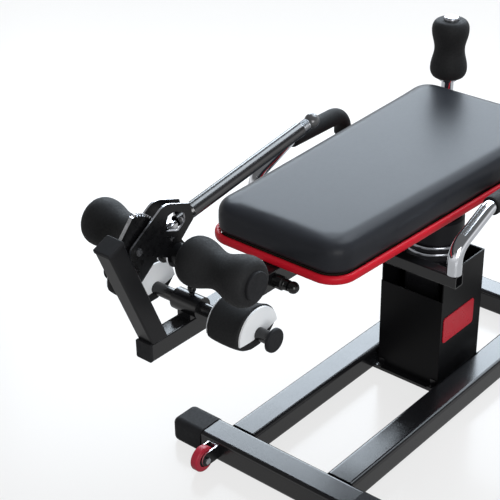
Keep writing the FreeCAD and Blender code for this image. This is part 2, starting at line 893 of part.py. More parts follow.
def tilt_bearing():
    """The bearing block under the spine, bored for the tilt shaft."""
    half = "(yoke_inside - gap)"
    barrel = rod("bearing_barrel", "tilt_bearing_radius", f"2 * {half}", (COLUMN_X, f"-{half}", "tilt_height"), "y")
    web = block(
        "bearing_web",
        ("2 * tilt_bearing_radius", SPINE_WIDTH, f"{SPINE_BOTTOM} - tilt_height"),
        (f"{COLUMN_X} - tilt_bearing_radius", f"-{SPINE_HALF}", "tilt_height"),
    )
    whole = union("bearing_whole", barrel, web)
    bore = rod(
        "bearing_bore",
        "tilt_shaft_radius + running_clearance",
        f"2 * {half} + 4",
        (COLUMN_X, f"-{half} - 2", "tilt_height"),
        "y",
    )
    return keep(minus("tilt_bearing", whole, bore), "tilt_bearing")


def handle_crossbars():
    """A tube under the spine for the handles' front legs and a stub each side of it for the rear ones."""
    end = "(handle_offset + handle_radius - 2)"
    x = "foot_bar_x + handle_front_x - stub_width / 2"
    size = ("stub_width", f"2 * {end}", "stub_width")
    front = box_tube("handle_front_tube", size, (x, f"-{end}", FRONT_LEG + " - stub_width"), Y_AXIS, "boom_wall", "3")
    tubes = [front]
    for hand, side in SIDES:
        x = "foot_bar_x + handle_rear_x - stub_width / 2"
        start = SPINE_HALF if side > 0 else f"-{end}"
        size = ("stub_width", f"{end} - {SPINE_HALF}", "stub_width")
        at = (x, start, REAR_LEG + " - stub_width")
        tubes.append(box_tube(f"handle_rear_tube_{hand}", size, at, Y_AXIS, "boom_wall", "3"))
    return keep(group("handle_crossbars", *tubes), "handle_crossbars")


FRONT_LEG = SPINE_BOTTOM
REAR_LEG = "(spine_height + stub_width / 2)"
HANDLE_PATH = [
    ("handle_front_x", FRONT_LEG),
    ("handle_front_x", "handle_leg_top"),
    ("handle_grip_x", "handle_grip_height"),
    ("handle_grip_end_x", "handle_grip_height"),
    ("handle_rear_x", REAR_LEG),
]


def pipe(label, path_points, bend, radius, start_role, side):
    """A round bar swept along a bent path in an upright plane beside the bed."""
    owner = body(label)
    path = bent_path(sketch_on(owner, "XZ_Plane", label + "_path"), path_points, bend)
    plan = sketch_on(owner, start_role, label + "_section", path_points[0][1 if start_role == "XY_Plane" else 0])
    centre = (path_points[0][0], "0") if start_role == "XY_Plane" else ("0", path_points[0][1])
    circle(plan, centre, radius)
    sweep = owner.newObject("PartDesign::AdditivePipe", label + "_sweep")
    sweep.Profile = plan
    sweep.Spine = (path, [f"Edge{i + 1}" for i in range(len(path.Shape.Edges))])
    sweep.Mode = "Frenet"
    doc.recompute()
    put(owner, ("foot_bar_x", f"{side} * handle_offset", "0"))
    doc.recompute()
    return owner


def side_handle(hand, side):
    return pipe(f"{hand}_handle_bar", HANDLE_PATH, "handle_bend", "handle_radius", "XY_Plane", side)


def handle_grip(hand, side, bar):
    """Foam over the grip and round its rear bend."""
    slope = f"(handle_rear_x - handle_grip_end_x) / (handle_grip_height - {REAR_LEG})"
    points = [
        ("handle_foam_start", "handle_grip_height"),
        ("handle_grip_end_x", "handle_grip_height"),
        (f"handle_grip_end_x + handle_foam_drop * {slope}", "handle_grip_height - handle_foam_drop"),
    ]
    sleeve = pipe(f"{hand}_grip_outside", points, "handle_bend", "handle_foam_radius", "YZ_Plane", side)
    return keep(minus(f"{hand}_handle_grip", sleeve, bar), f"{hand}_handle_grip")


def head_crossbar():
    """Carries the two head posts; it closes the spine's head end."""
    size = ("head_bar_width", "2 * head_bar_half", "head_bar_height")
    at = (f"{HEAD_X} - head_bar_width / 2", "-head_bar_half", "spine_height - head_bar_height / 2")
    return keep(box_tube("head_crossbar", size, at, Y_AXIS, "frame_wall", "4"), "head_crossbar")


def head_post(label, side):
    """A plated post with a collar under its roller and a cap above it."""
    low = "(spine_height + head_bar_height / 2)"
    profile = [
        ("post_radius - 2", low),
        ("post_radius + 4", low),
        ("post_radius + 4", f"{low} + 4"),
        ("post_radius", f"{low} + 4"),
        ("post_radius", "head_roller_bottom - 6 - gap"),
        ("post_radius + 6", "head_roller_bottom - 6 - gap"),
        ("post_radius + 6", "head_roller_bottom - gap"),
        ("post_radius", "head_roller_bottom - gap"),
        ("post_radius", "post_top"),
        ("post_radius - 2", "post_top"),
    ]
    return revolved(label, "XZ_Plane", profile, (HEAD_X, f"{side} * head_offset", "0"))


def head_post_cap(label, side):
    top = "(head_roller_bottom + head_roller_length + gap)"
    profile = [
        ("post_radius", top),
        ("head_cap_radius + 2", top),
        ("head_cap_radius + 2", f"{top} + 3"),
        ("head_cap_radius - 1", f"{top} + 6"),
        ("0", f"{top} + 6"),
        ("0", "post_top"),
        ("post_radius", "post_top"),
    ]
    return revolved(label, "XZ_Plane", profile, (HEAD_X, f"{side} * head_offset", "0"), {2: "0.8"})


def waisted_roller(label, role, length, radius, waist, bore, at, turn=None):
    """A foam roller that is fuller at both ends than in the middle."""
    wall = 6
    edge = f"({radius} - {wall})"
    points = [
        (bore, "0"),
        (edge, "0"),
        (radius, f"{length} * 0.14"),
        (waist, f"{length} * 0.5"),
        (radius, f"{length} * 0.86"),
        (edge, length),
        (bore, length),
    ]
    return keep(revolved(label, role, points, at, {1: "4.5", 2: "-1.5", 3: "-1.5", 4: "4.5"}, turn), label)


def pin_barrel():
    """The fixed barrel of the pop pin, on the receiver's side."""
    start = f"-({SPINE_HALF} + pin_barrel_length)"
    outside = rod("barrel_outside", "pin_barrel_radius", "pin_barrel_length", (PIN_X, start, "spine_height"), "y")
    bore = rod(
        "barrel_bore",
        "pin_radius + running_clearance",
        "pin_barrel_length + 4",
        (PIN_X, f"{start} - 2", "spine_height"),
        "y",
    )
    return keep(minus("pin_barrel", outside, bore), "pin_barrel")


def pop_pin():
    """The sprung pin, its flange and its ball knob, in one pull."""
    end = f"({SPINE_HALF} + pin_barrel_length)"
    tip = "(boom_width / 2 + gap)"
    flange_start = f"{end} + gap"
    ball_at = f"({flange_start} + pin_flange_width + pin_ball_radius - 2)"
    stem = rod("pin_stem", "pin_radius", f"{ball_at} - {tip}", (PIN_X, f"-{ball_at}", "spine_height"), "y")
    flange = rod(
        "pin_flange",
        "pin_flange_radius",
        "pin_flange_width",
        (PIN_X, f"-({flange_start} + pin_flange_width)", "spine_height"),
        "y",
    )
    knob = ball("pin_ball", "pin_ball_radius", (PIN_X, f"-{ball_at}", "spine_height"))
    return keep(union("pop_pin", stem, flange, knob), "pop_pin")


seat_pad()
pad_board()
pad_trim()
bed_spine()
tilt_bearing()
handle_crossbars()
bars = [side_handle(hand, side) for hand, side in SIDES]
keep(group("side_handles", *bars), "side_handles")
for (hand, side), bar in zip(SIDES, bars):
    handle_grip(hand, side, bar)
head_crossbar()
posts = [head_post(f"{hand}_head_post", side) for hand, side in SIDES]
keep(group("head_posts", *posts), "head_posts")
caps = [head_post_cap(f"{hand}_post_cap", side) for hand, side in SIDES]
keep(group("post_caps", *caps), "post_caps")
for hand, side in SIDES:
    waisted_roller(
        f"{hand}_head_roller",
        "XZ_Plane",
        "head_roller_length",
        "head_roller_radius",
        "head_roller_waist",
        "post_radius + running_clearance",
        (HEAD_X, f"{side} * head_offset", "head_roller_bottom"),
    )
pin_barrel()
pop_pin()


# ---------------------------------------------------------------- foot boom, arm and ratchet sector

ARM_FOOT_X = "(foot_bar_x + boom_x + boom_width / (2 * cos(arm_lean)))"


def boom():
    """The sliding square tube, with a row of pin holes in its right side."""
    size = ("boom_length", "boom_width", "boom_width")
    at = ("foot_bar_x + boom_x", "-boom_width / 2", BOOM_BOTTOM)
    tube = box_tube("boom_tube", size, at, X_AXIS, "boom_wall", "3")
    holes = []
    for step in range(-4, 6):
        where = f"{PIN_X} + {step} * hole_pitch"
        holes.append(
            rod(f"boom_hole_{step + 4}", "pin_radius + 0.4", "6", (where, "-(boom_width / 2 + 2)", "spine_height"), "y")
        )
    return keep(minus("boom", tube, union("boom_holes", *holes)), "boom")


def boom_end_cap():
    at = ("foot_bar_x + boom_x - boom_cap_wall", "-boom_width / 2", BOOM_BOTTOM)
    plug = block("boom_cap_plate", ("boom_cap_wall", "boom_width", "boom_width"), at)
    return keep(rounded("boom_end_cap", plug, "2.5", runs_along(X_AXIS)), "boom_end_cap")


def ankle_arm():
    """The square tube that stands on the boom's end and leans away from the bed."""
    owner = body("arm_tube")
    section = sketch_on(owner, "XY_Plane", "arm_section", "-boom_width")
    half = "boom_width / 2"
    outline(section, [(f"-{half}", f"-{half}"), (half, f"-{half}"), (half, half), (f"-{half}", half)])
    pad(owner, section, "arm_length + boom_width")
    smooth_edges(owner, "3", runs_along(Z_AXIS))
    bore = sketch_on(owner, "XY_Plane", "arm_bore", "-boom_width")
    inner = "(boom_width / 2 - boom_wall)"
    outline(bore, [(f"-{inner}", f"-{inner}"), (inner, f"-{inner}"), (inner, inner), (f"-{inner}", inner)])
    pocket(owner, bore)
    put(owner, (ARM_FOOT_X, "0", BOOM_TOP), ((0, -1, 0), "arm_lean"))
    doc.recompute()
    below = block(
        "arm_trim_block",
        ("6 * boom_width", "2 * boom_width", "3 * boom_width"),
        (f"{ARM_FOOT_X} - 3 * boom_width", "-boom_width", f"{BOOM_TOP} - 3 * boom_width"),
    )
    return keep(minus("ankle_arm", owner, below), "ankle_arm")


def arm_top_cap():
    wide = "(boom_width + 1.5)"
    plate = block(
        "arm_cap_plate",
        (wide, wide, "arm_cap_wall"),
        (f"-{wide} / 2", f"-{wide} / 2", "arm_length"),
    )
    soft = rounded(
        "arm_cap_round", plate, "2", lambda e: e.CenterOfMass.z > number("arm_length") + 1
    )
    owner = doc.addObject("Part::Compound", "arm_cap_place")
    owner.Links = [soft]
    put(owner, (ARM_FOOT_X, "0", BOOM_TOP), ((0, -1, 0), "arm_lean"))
    doc.recompute()
    return keep(owner, "arm_top_cap")


def toothed_sector():
    """The fixed ratchet plate on the arm's inner face, with its teeth round the clamp's pivot."""
    owner = body("sector_plate")

    def on_arm(up):
        rise = f"({BOOM_TOP} + {up} - ratchet_height)"
        return f"-ratchet_stand - {rise} * tan(arm_lean)", rise

    root = "(sector_radius - tooth_depth)"
    corners = [
        on_arm("96"),
        ("sector_radius - 6", "-31"),
        (f"{root} * cos(-4)", f"{root} * sin(-4)"),
        (f"{root} * cos(88)", f"{root} * sin(88)"),
        on_arm("176"),
    ]
    side_view = outline(sketch_on(owner, "XZ_Plane", "sector_side"), corners, {2: f"{root} * (1 - cos(46))"})
    pad(owner, side_view, "sector_wall", True)
    first = sketch_on(owner, "XZ_Plane", "tooth_side")
    foot = f"({root} - 1)"
    tooth_corners = [
        (f"{foot} * cos(0)", f"{foot} * sin(0)"),
        ("sector_radius * cos(1.2)", "sector_radius * sin(1.2)"),
        ("sector_radius * cos(2.8)", "sector_radius * sin(2.8)"),
        (f"{foot} * cos(5.4)", f"{foot} * sin(5.4)"),
    ]
    tooth = pad(owner, outline(first, tooth_corners), "sector_wall", True)
    teeth = owner.newObject("PartDesign::PolarPattern", "sector_teeth")
    teeth.Originals = [tooth]
    teeth.Axis = (first, ["N_Axis"])
    teeth.Angle = 78
    teeth.Occurrences = 14
    owner.Tip = teeth
    doc.recompute()
    hole = circle(sketch_on(owner, "XZ_Plane", "sector_hole"), ("0", "0"), "ratchet_bolt_radius")
    pocket(owner, hole)
    put(owner, (RATCHET_X, "0", "ratchet_height"))
    doc.recompute()
    return keep(owner, "toothed_sector")


def ratchet_bolt():
    """The clamp's pivot bolt, fixed in the sector plate."""
    half = "(plate_inside + plate_wall + gap)"
    wide = "ratchet_bolt_radius + bolt_rim"
    long = f"2 * {half} + nut_height"
    shank = rod("ratchet_shank", "ratchet_bolt_radius", long, (RATCHET_X, f"-{half}", "ratchet_height"), "y")
    head = rod("ratchet_head", wide, "bolt_head", (RATCHET_X, f"-{half} - bolt_head", "ratchet_height"), "y")
    nut = hexagon("ratchet_nut", wide, "nut_height - 1", (RATCHET_X, half, "ratchet_height"))
    return keep(union("ratchet_bolt", shank, head, nut), "ratchet_bolt")


boom()
boom_end_cap()
ankle_arm()
arm_top_cap()
toothed_sector()
ratchet_bolt()


# ---------------------------------------------------------------- ankle clamp

# Corners in the side view, from the pivot bolt; the two that carry the hub follow its size.
PLATE_OUTLINE = [
    ("-11", "9"),
    ("44", "44"),
    ("66", "47"),
    ("105", "33"),
    ("112", "6"),
    ("86", "-17"),
    ("clamp_axle_x + clamp_hub_radius + 4", "-clamp_axle_drop + 4"),
    ("clamp_axle_x - clamp_hub_radius - 4", "-clamp_axle_drop + 1"),
    ("28", "-19"),
    ("-3", "-14"),
]


def clamp_plate(label, side):
    """One of the two steel plates that carry the lever, the pawl and the upper foot rollers."""
    owner = body(label)
    bulges = {1: "-2.5", 6: "-24", 9: "-7"}
    side_view = outline(sketch_on(owner, "XZ_Plane", label + "_side"), PLATE_OUTLINE, bulges)
    pad(owner, side_view, "plate_wall", True)
    pivot = circle(
        sketch_on(owner, "XZ_Plane", label + "_pivot"), ("0", "0"), "ratchet_bolt_radius + running_clearance"
    )
    pocket(owner, pivot)
    seat = circle(
        sketch_on(owner, "XZ_Plane", label + "_seat"), ("clamp_axle_x", "-clamp_axle_drop"), "clamp_hub_radius"
    )
    pocket(owner, seat)
    window = outline(
        sketch_on(owner, "XZ_Plane", label + "_window"),
        [("57", "8"), ("80", "-1"), ("93", "7"), ("92", "23"), ("77", "31"), ("61", "30")],
        {2: "2", 4: "1", 5: "2"},
    )
    pocket(owner, window)
    put(owner, (RATCHET_X, f"{side} * (plate_inside + plate_wall / 2)", "ratchet_height"))
    doc.recompute()
    return owner


def clamp_plates():
    """Both plates and the pin between them that the pawl turns on."""
    plates = [clamp_plate(f"{hand}_clamp_plate", side) for hand, side in SIDES]
    half = "(plate_inside + plate_wall + 2)"
    pin_at = (f"{RATCHET_X} + pawl_pin_x", f"-{half}", "ratchet_height + pawl_pin_height")
    pin = rod("pawl_pin", "pawl_pin_radius", f"2 * {half}", pin_at, "y")
    return keep(union("clamp_plates", *plates, pin), "clamp_plates")


def clamp_hub():
    """The tube through both plates that grips the upper axle."""
    outside = rod("hub_outside", "clamp_hub_radius", "2 * clamp_hub_half", (CLAMP_X, "-clamp_hub_half", CLAMP_Z), "y")
    bore = rod(
        "hub_bore", "clamp_axle_radius", "2 * clamp_hub_half + 4", (CLAMP_X, "-clamp_hub_half - 2", CLAMP_Z), "y"
    )
    return keep(minus("clamp_hub", outside, bore), "clamp_hub")


def foot_roller_axle():
    """The upper axle with a disc at each end that keeps its roller on."""
    end = "(foot_roller_inner + foot_roller_length + gap)"
    bar = rod("foot_axle_bar", "clamp_axle_radius", f"2 * {end}", (CLAMP_X, f"-{end}", CLAMP_Z), "y")
    discs = []
    for hand, side in SIDES:
        start = end if side > 0 else f"-{end} - foot_cap_wall"
        disc = rod(f"{hand}_foot_disc", "foot_cap_radius", "foot_cap_wall", (CLAMP_X, start, CLAMP_Z), "y")
        outer = side * number(f"{end} + foot_cap_wall")
        discs.append(rounded(f"{hand}_foot_cap", disc, "2", lambda e, y=outer: abs(e.BoundBox.YMin - y) < 0.1))
    keep(bar, "foot_roller_axle")
    keep(group("foot_roller_caps", *discs), "foot_roller_caps")


def along_lever(thing, start):
    """Places a piece drawn up the Z axis on the lever's axis, a distance up from its lower end."""
    at = (
        f"{RATCHET_X} + lever_x + ({start}) * cos(lever_lean)",
        "0",
        f"ratchet_height + lever_height + ({start}) * sin(lever_lean)",
    )
    put(thing, at, ((0, 1, 0), "90 - lever_lean"))
    doc.recompute()
    return thing


def lever():
    """The long tube the clamp is worked by, with a closely coiled spring let into its upper end."""
    inner = "(lever_radius - lever_wall)"
    neck_inner = "(plate_inside - lever_wall)"
    coil_low = "lever_radius - 3.5"
    profile = [
        (neck_inner, "0"),
        ("plate_inside", "0"),
        ("plate_inside", "lever_neck"),
        ("lever_radius", "lever_neck + 5"),
        ("lever_radius", "lever_length"),
        (coil_low, "lever_length"),
    ]
    arcs = {}
    for rib in range(int(SIZES["spring_ribs"])):
        arcs[len(profile) - 1] = "1.6"
        profile.append((coil_low, f"lever_length + {rib + 1} * spring_pitch"))
    bore = "(knob_rod_radius + running_clearance)"
    top = "lever_length + spring_ribs * spring_pitch"
    profile += [
        (bore, top),
        (bore, "lever_length - 12"),
        (inner, "lever_length - 12"),
        (inner, "lever_neck + 6"),
        (neck_inner, "lever_neck"),
    ]
    tube = revolved("lever_tube", "XZ_Plane", profile, ("0", "0", "0"), arcs)
    keep(along_lever(tube, "0"), "lever_tube")


def lever_knob():
    """Ball knob, pull rod and fork in one; pulling it lifts the pawl."""
    fork_back = "(lever_x - 5)"
    fork_low = "ratchet_height + fork_pin_height - 4"
    cheeks = []
    for hand, side in SIDES:
        cheek = block(
            f"fork_cheek_{hand}",
            (f"{fork_back} - fork_pin_x + 4", "3", "9"),
            (f"{RATCHET_X} + fork_pin_x - 4", f"{side} * (pawl_wall / 2 + 2.5) - 1.5", fork_low),
        )
        cheeks.append(rounded(f"fork_{hand}", cheek, "3", runs_along(Y_AXIS)))
    bridge = block(
        "fork_bridge",
        ("5", "pawl_wall + 8", "9"),
        (f"{RATCHET_X} + {fork_back} - 5", "-(pawl_wall + 8) / 2", fork_low),
    )
    pin_half = "(pawl_wall / 2 + 4)"
    pin = rod(
        "fork_pin",
        "fork_pin_radius",
        f"2 * {pin_half}",
        (f"{RATCHET_X} + fork_pin_x", f"-{pin_half}", "ratchet_height + fork_pin_height"),
        "y",
    )
    ball_at = "(lever_length + spring_ribs * spring_pitch + gap + knob_radius)"
    pull_rod = doc.addObject("Part::Cylinder", "pull_rod")
    pull_rod.setExpression("Radius", bound("knob_rod_radius"))
    pull_rod.setExpression("Height", bound(f"{ball_at} + 8"))
    along_lever(pull_rod, "-8")
    knob = doc.addObject("Part::Sphere", "knob_ball")
    knob.setExpression("Radius", bound("knob_radius"))
    along_lever(knob, ball_at)
    return keep(union("lever_knob", *cheeks, bridge, pin, pull_rod, knob), "lever_knob")


def pawl():
    """Pushes against the sector's teeth; the fork's pin passes through a wide eye in it."""
    owner = body("pawl_plate")
    corners = [
        ("62", "-14"),
        ("74", "-14"),
        ("78", "-5"),
        ("75.5", "11"),
        ("61", "12"),
        ("57.5", "20"),
        ("51.2", "13"),
        ("57", "2"),
    ]
    side_view = outline(sketch_on(owner, "XZ_Plane", "pawl_side"), corners, {0: "2", 3: "2"})
    pad(owner, side_view, "pawl_wall", True)
    bore = circle(
        sketch_on(owner, "XZ_Plane", "pawl_bore"),
        ("pawl_pin_x", "pawl_pin_height"),
        "pawl_pin_radius + running_clearance",
    )
    pocket(owner, bore)
    eye = circle(sketch_on(owner, "XZ_Plane", "pawl_eye"), ("fork_pin_x", "fork_pin_height"), "fork_pin_radius + 2")
    pocket(owner, eye)
    put(owner, (RATCHET_X, "0", "ratchet_height"))
    doc.recompute()
    return keep(owner, "pawl")


clamp_plates()
clamp_hub()
foot_roller_axle()
for hand, side in SIDES:
    start = "foot_roller_inner" if side > 0 else "-(foot_roller_inner + foot_roller_length)"
    waisted_roller(
        f"{hand}_foot_roller",
        "XY_Plane",
        "foot_roller_length",
        "foot_roller_radius",
        "foot_roller_waist",
        "clamp_axle_radius + running_clearance",
        (CLAMP_X, start, CLAMP_Z),
    )
lever()
lever_knob()
pawl()


# ---------------------------------------------------------------- heel bar


def axle_sleeve():
    """The sleeve on the boom that the lower axle turns in, with a tapped hole for its screw."""
    barrel = rod("sleeve_barrel", "sleeve_radius", "2 * sleeve_half", (HEEL_X, "-sleeve_half", HEEL_HEIGHT), "y")
    saddle = block(
        "sleeve_saddle",
        ("2 * sleeve_radius - 6", "boom_width - 4", "heel_rise"),
        (f"{HEEL_X} - sleeve_radius + 3", "-(boom_width - 4) / 2", BOOM_TOP),
    )
    whole = union("sleeve_whole", barrel, saddle)
    bore = rod(
        "sleeve_bore",
        "heel_axle_radius + running_clearance",
        "2 * sleeve_half + 4",
        (HEEL_X, "-sleeve_half - 2", HEEL_HEIGHT),
        "y",
    )
    screw_hole = rod(
        "sleeve_screw_hole",
        "thumb_screw_radius + running_clearance",
        "sleeve_radius + 2",
        (HEEL_X, "thumb_screw_y", HEEL_HEIGHT),
    )
    return keep(minus("axle_sleeve", whole, union("sleeve_holes", bore, screw_hole)), "axle_sleeve")


def thumb_screw():
    """A screw with a small round knob that locks the lower axle."""
    low = f"({HEEL_HEIGHT} + heel_axle_radius + gap)"
    neck = f"({low} + sleeve_radius - heel_axle_radius + 3)"
    profile = [
        ("0", low),
        ("thumb_screw_radius", low),
        ("thumb_screw_radius", neck),
        ("thumb_knob_radius - 2", neck),
        ("thumb_knob_radius", f"{neck} + 4"),
        ("thumb_knob_radius", f"{neck} + thumb_knob_height - 3"),
        ("thumb_knob_radius - 3", f"{neck} + thumb_knob_height"),
        ("0", f"{neck} + thumb_knob_height"),
    ]
    return keep(revolved("thumb_screw", "XZ_Plane", profile, (HEEL_X, "thumb_screw_y", "0"), {5: "0.88"}), "thumb_screw")


def heel_axle():
    bar = rod("heel_axle", "heel_axle_radius", "2 * heel_axle_half", (HEEL_X, "-heel_axle_half", HEEL_HEIGHT), "y")
    keep(bar, "heel_axle")
    ends = []
    for hand, side in SIDES:
        start = "heel_axle_half" if side > 0 else "-(heel_axle_half + heel_cap_wall)"
        disc = rod(f"{hand}_heel_disc", "heel_cap_radius", "heel_cap_wall", (HEEL_X, start, HEEL_HEIGHT), "y")
        outer = side * number("heel_axle_half + heel_cap_wall")
        ends.append(rounded(f"{hand}_heel_cap", disc, "3", lambda e, y=outer: abs(e.BoundBox.YMin - y) < 0.1))
    keep(group("heel_caps", *ends), "heel_caps")


def half_round(label, radius, drop, wall, y):
    """A D-shaped piece round the lower axle, its flat side down and tipped a little."""
    owner = body(label)
    corners = [(f"-{radius}", "0"), (radius, "0"), ("0", radius)]
    quarter = f"{radius} * (1 - cos(45))"
    arcs = {0: drop, 1: quarter, 2: quarter}
    side_view = outline(sketch_on(owner, "XZ_Plane", label + "_side"), corners, arcs)
    pad(owner, side_view, wall, True)
    hole = circle(sketch_on(owner, "XZ_Plane", label + "_hole"), ("0", "0"), "heel_axle_radius")
    pocket(owner, hole)
    put(owner, (HEEL_X, y, HEEL_HEIGHT), ((0, -1, 0), "heel_tip"))
    doc.recompute()
    return owner


def heel_pads():
    plates = []
    middle = "(heel_plate_inner + heel_plate_outer) / 2"
    edges = (
        ("inner", "heel_plate_inner + heel_plate_wall / 2"),
        ("outer", "heel_plate_outer - heel_plate_wall / 2"),
    )
    for hand, side in SIDES:
        for name, edge in edges:
            y = f"{side} * ({edge})"
            plates.append(
                half_round(f"{hand}_{name}_plate", "heel_plate_radius", "heel_plate_drop", "heel_plate_wall", y)
            )
        wide = "heel_plate_outer - heel_plate_inner - 2 * heel_plate_wall"
        foam = half_round(f"{hand}_heel_pad", "heel_foam_radius", "heel_foam_drop", wide, f"{side} * {middle}")
        keep(foam, f"{hand}_heel_pad")
    keep(group("heel_plates", *plates), "heel_plates")


axle_sleeve()
thumb_screw()
heel_axle()
heel_pads()


# ---------------------------------------------------------------- check and export

doc.recompute()
for thing in doc.Objects:
    state = [word for word in thing.State if word in ("Invalid", "Error")]
    assert not state, (thing.Label, thing.State)

os.makedirs("parts", exist_ok=True)
for thing in sub_parts:
    shape = thing.Shape
    assert not shape.isNull() and shape.isValid() and shape.Volume > 1, thing.Label
    shape.exportStep(f"parts/{thing.Label}.step")
print(len(sub_parts), "sub-parts")
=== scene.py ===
"""Finishes and soft parts for a tilting roman chair, laid out as an add-on and run as a script."""

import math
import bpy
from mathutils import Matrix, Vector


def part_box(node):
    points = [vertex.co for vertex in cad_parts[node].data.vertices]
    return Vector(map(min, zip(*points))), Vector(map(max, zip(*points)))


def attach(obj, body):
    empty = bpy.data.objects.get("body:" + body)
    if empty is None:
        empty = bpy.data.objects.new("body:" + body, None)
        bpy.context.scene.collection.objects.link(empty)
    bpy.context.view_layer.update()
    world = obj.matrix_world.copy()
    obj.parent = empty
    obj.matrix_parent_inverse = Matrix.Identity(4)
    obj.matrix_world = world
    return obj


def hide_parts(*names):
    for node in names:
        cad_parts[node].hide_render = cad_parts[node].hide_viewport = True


bl_info = {
    "name": "Roman Chair Finishes",
    "version": (1, 0, 0),
    "blender": (4, 5, 0),
    "location": "3D View > Sidebar > Roman Chair",
    "description": "Makes the cushion, foams and finishes of a tilting roman chair",
    "category": "Object",
}

import bpy
from mathutils import Vector

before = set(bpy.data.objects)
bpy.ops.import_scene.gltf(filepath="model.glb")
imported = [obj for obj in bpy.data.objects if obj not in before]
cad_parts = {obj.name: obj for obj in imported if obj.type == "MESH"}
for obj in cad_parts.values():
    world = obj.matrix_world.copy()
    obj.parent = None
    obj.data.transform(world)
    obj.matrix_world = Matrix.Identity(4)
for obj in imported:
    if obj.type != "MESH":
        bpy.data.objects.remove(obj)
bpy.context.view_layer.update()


# ---------------------------------------------------------------- settings


class CushionSettings(bpy.types.PropertyGroup):
    """Sizes of the bed's cushion and of the red band round its foot."""

    corner: bpy.props.FloatProperty(
        name="Corner radius",
        description="Radius of the cushion's corners seen from above",
        default=0.041,
        unit="LENGTH",
    )
    edge: bpy.props.FloatProperty(
        name="Edge radius",
        description="Rounding of the cushion's upper edge",
        default=0.021,
        unit="LENGTH",
    )
    foot_edge: bpy.props.FloatProperty(
        name="Foot edge radius",
        description="Rounding of the cushion's lower edge, and the height up to which it is held",
        default=0.004,
        unit="LENGTH",
    )
    voxel: bpy.props.FloatProperty(
        name="Cloth spacing",
        description="Spacing of the simulated cover's mesh",
        default=0.0055,
        unit="LENGTH",
    )
    swell: bpy.props.FloatProperty(
        name="Largest swell",
        description="How far the filling may push the cover out",
        default=0.0012,
        unit="LENGTH",
    )
    band_depth: bpy.props.FloatProperty(
        name="Band depth",
        description="Width of the red band's section, seen from above",
        default=0.0105,
        unit="LENGTH",
    )
    band_corner: bpy.props.FloatProperty(
        name="Band corner radius",
        description="Radius of the band's corners seen from above",
        default=0.045,
        unit="LENGTH",
    )
    band_edge: bpy.props.FloatProperty(
        name="Band edge radius",
        description="Rounding of the band's section",
        default=0.0052,
        unit="LENGTH",
    )


class FoamSettings(bpy.types.PropertyGroup):
    """Sizes of the foam rollers, heel pads and grips."""

    sides: bpy.props.IntProperty(
        name="Sides",
        description="Number of faces round a roller",
        default=96,
        min=24,
        max=256,
    )
    waist: bpy.props.FloatProperty(
        name="Waist",
        description="Radius at the middle of a roller as a share of its full radius",
        default=0.74,
    )
    head_waist: bpy.props.FloatProperty(
        name="Head roller waist",
        description="The same share for the two head rollers",
        default=0.82,
    )
    heel_waist: bpy.props.FloatProperty(
        name="Heel waist",
        description="How far a heel pad draws in on top, as a share of its radius",
        default=0.13,
    )
    heel_swell: bpy.props.FloatProperty(
        name="Heel swell",
        description="How far a heel pad swells out below, as a share of its radius",
        default=0.12,
    )
    end_round: bpy.props.FloatProperty(
        name="End rounding",
        description="Rounding of a roller's ends",
        default=0.012,
        unit="LENGTH",
    )
    voxel: bpy.props.FloatProperty(
        name="Foam spacing",
        description="Spacing of the mesh of moulded foam pieces",
        default=0.0024,
        unit="LENGTH",
    )


class FinishSettings(bpy.types.PropertyGroup):
    """Colours of the finishes."""

    coat: bpy.props.FloatVectorProperty(
        name="Powder coat",
        description="Colour of the painted frame",
        default=(0.007, 0.007, 0.008),
        subtype="COLOR",
    )
    leather: bpy.props.FloatVectorProperty(
        name="Cushion cover",
        description="Colour of the cushion's cover",
        default=(0.024, 0.0255, 0.03),
        subtype="COLOR",
    )
    band: bpy.props.FloatVectorProperty(
        name="Band",
        description="Colour of the band round the cushion",
        default=(0.6, 0.008, 0.022),
        subtype="COLOR",
    )
    foam: bpy.props.FloatVectorProperty(
        name="Foam",
        description="Colour of the rollers, heel pads and grips",
        default=(0.0118, 0.0121, 0.013),
        subtype="COLOR",
    )
    wheel: bpy.props.FloatVectorProperty(
        name="Wheels",
        description="Colour of the transport wheels",
        default=(0.46, 0.02, 0.045),
        subtype="COLOR",
    )
    plate: bpy.props.FloatVectorProperty(
        name="Heel plates",
        description="Colour of the plates beside the heel pads",
        default=(0.92, 0.96, 1.0),
        subtype="COLOR",
    )


class StageSettings(bpy.types.PropertyGroup):
    """The camera and the lamps."""

    lens: bpy.props.FloatProperty(
        name="Lens",
        description="Focal length of the camera",
        default=96.3,
        subtype="DISTANCE_CAMERA",
    )
    back_light: bpy.props.FloatProperty(
        name="Back softbox",
        description="Power of the large lamp beyond the machine",
        default=450.0,
        subtype="POWER",
    )
    top_light: bpy.props.FloatProperty(
        name="Top softbox",
        description="Power of the lamp above the machine",
        default=70.0,
        subtype="POWER",
    )
    side_light: bpy.props.FloatProperty(
        name="Side softbox",
        description="Power of the lamp beyond the head end",
        default=70.0,
        subtype="POWER",
    )
    fill_light: bpy.props.FloatProperty(
        name="Fill",
        description="Power of the lamp beside the camera",
        default=42.0,
        subtype="POWER",
    )


# ---------------------------------------------------------------- mesh helpers


def deselect_all():
    if bpy.context.mode != "OBJECT":
        bpy.ops.object.mode_set(mode="OBJECT")
    bpy.ops.object.select_all(action="DESELECT")


def take(piece):
    """Makes a piece the only selected and the active one."""
    deselect_all()
    piece.select_set(True)
    bpy.context.view_layer.objects.active = piece


def settle(piece, name):
    """Names a piece and puts its place into its mesh."""
    take(piece)
    bpy.ops.object.transform_apply(location=True, rotation=True, scale=True)
    piece.name = name
    piece.data.name = name
    return piece


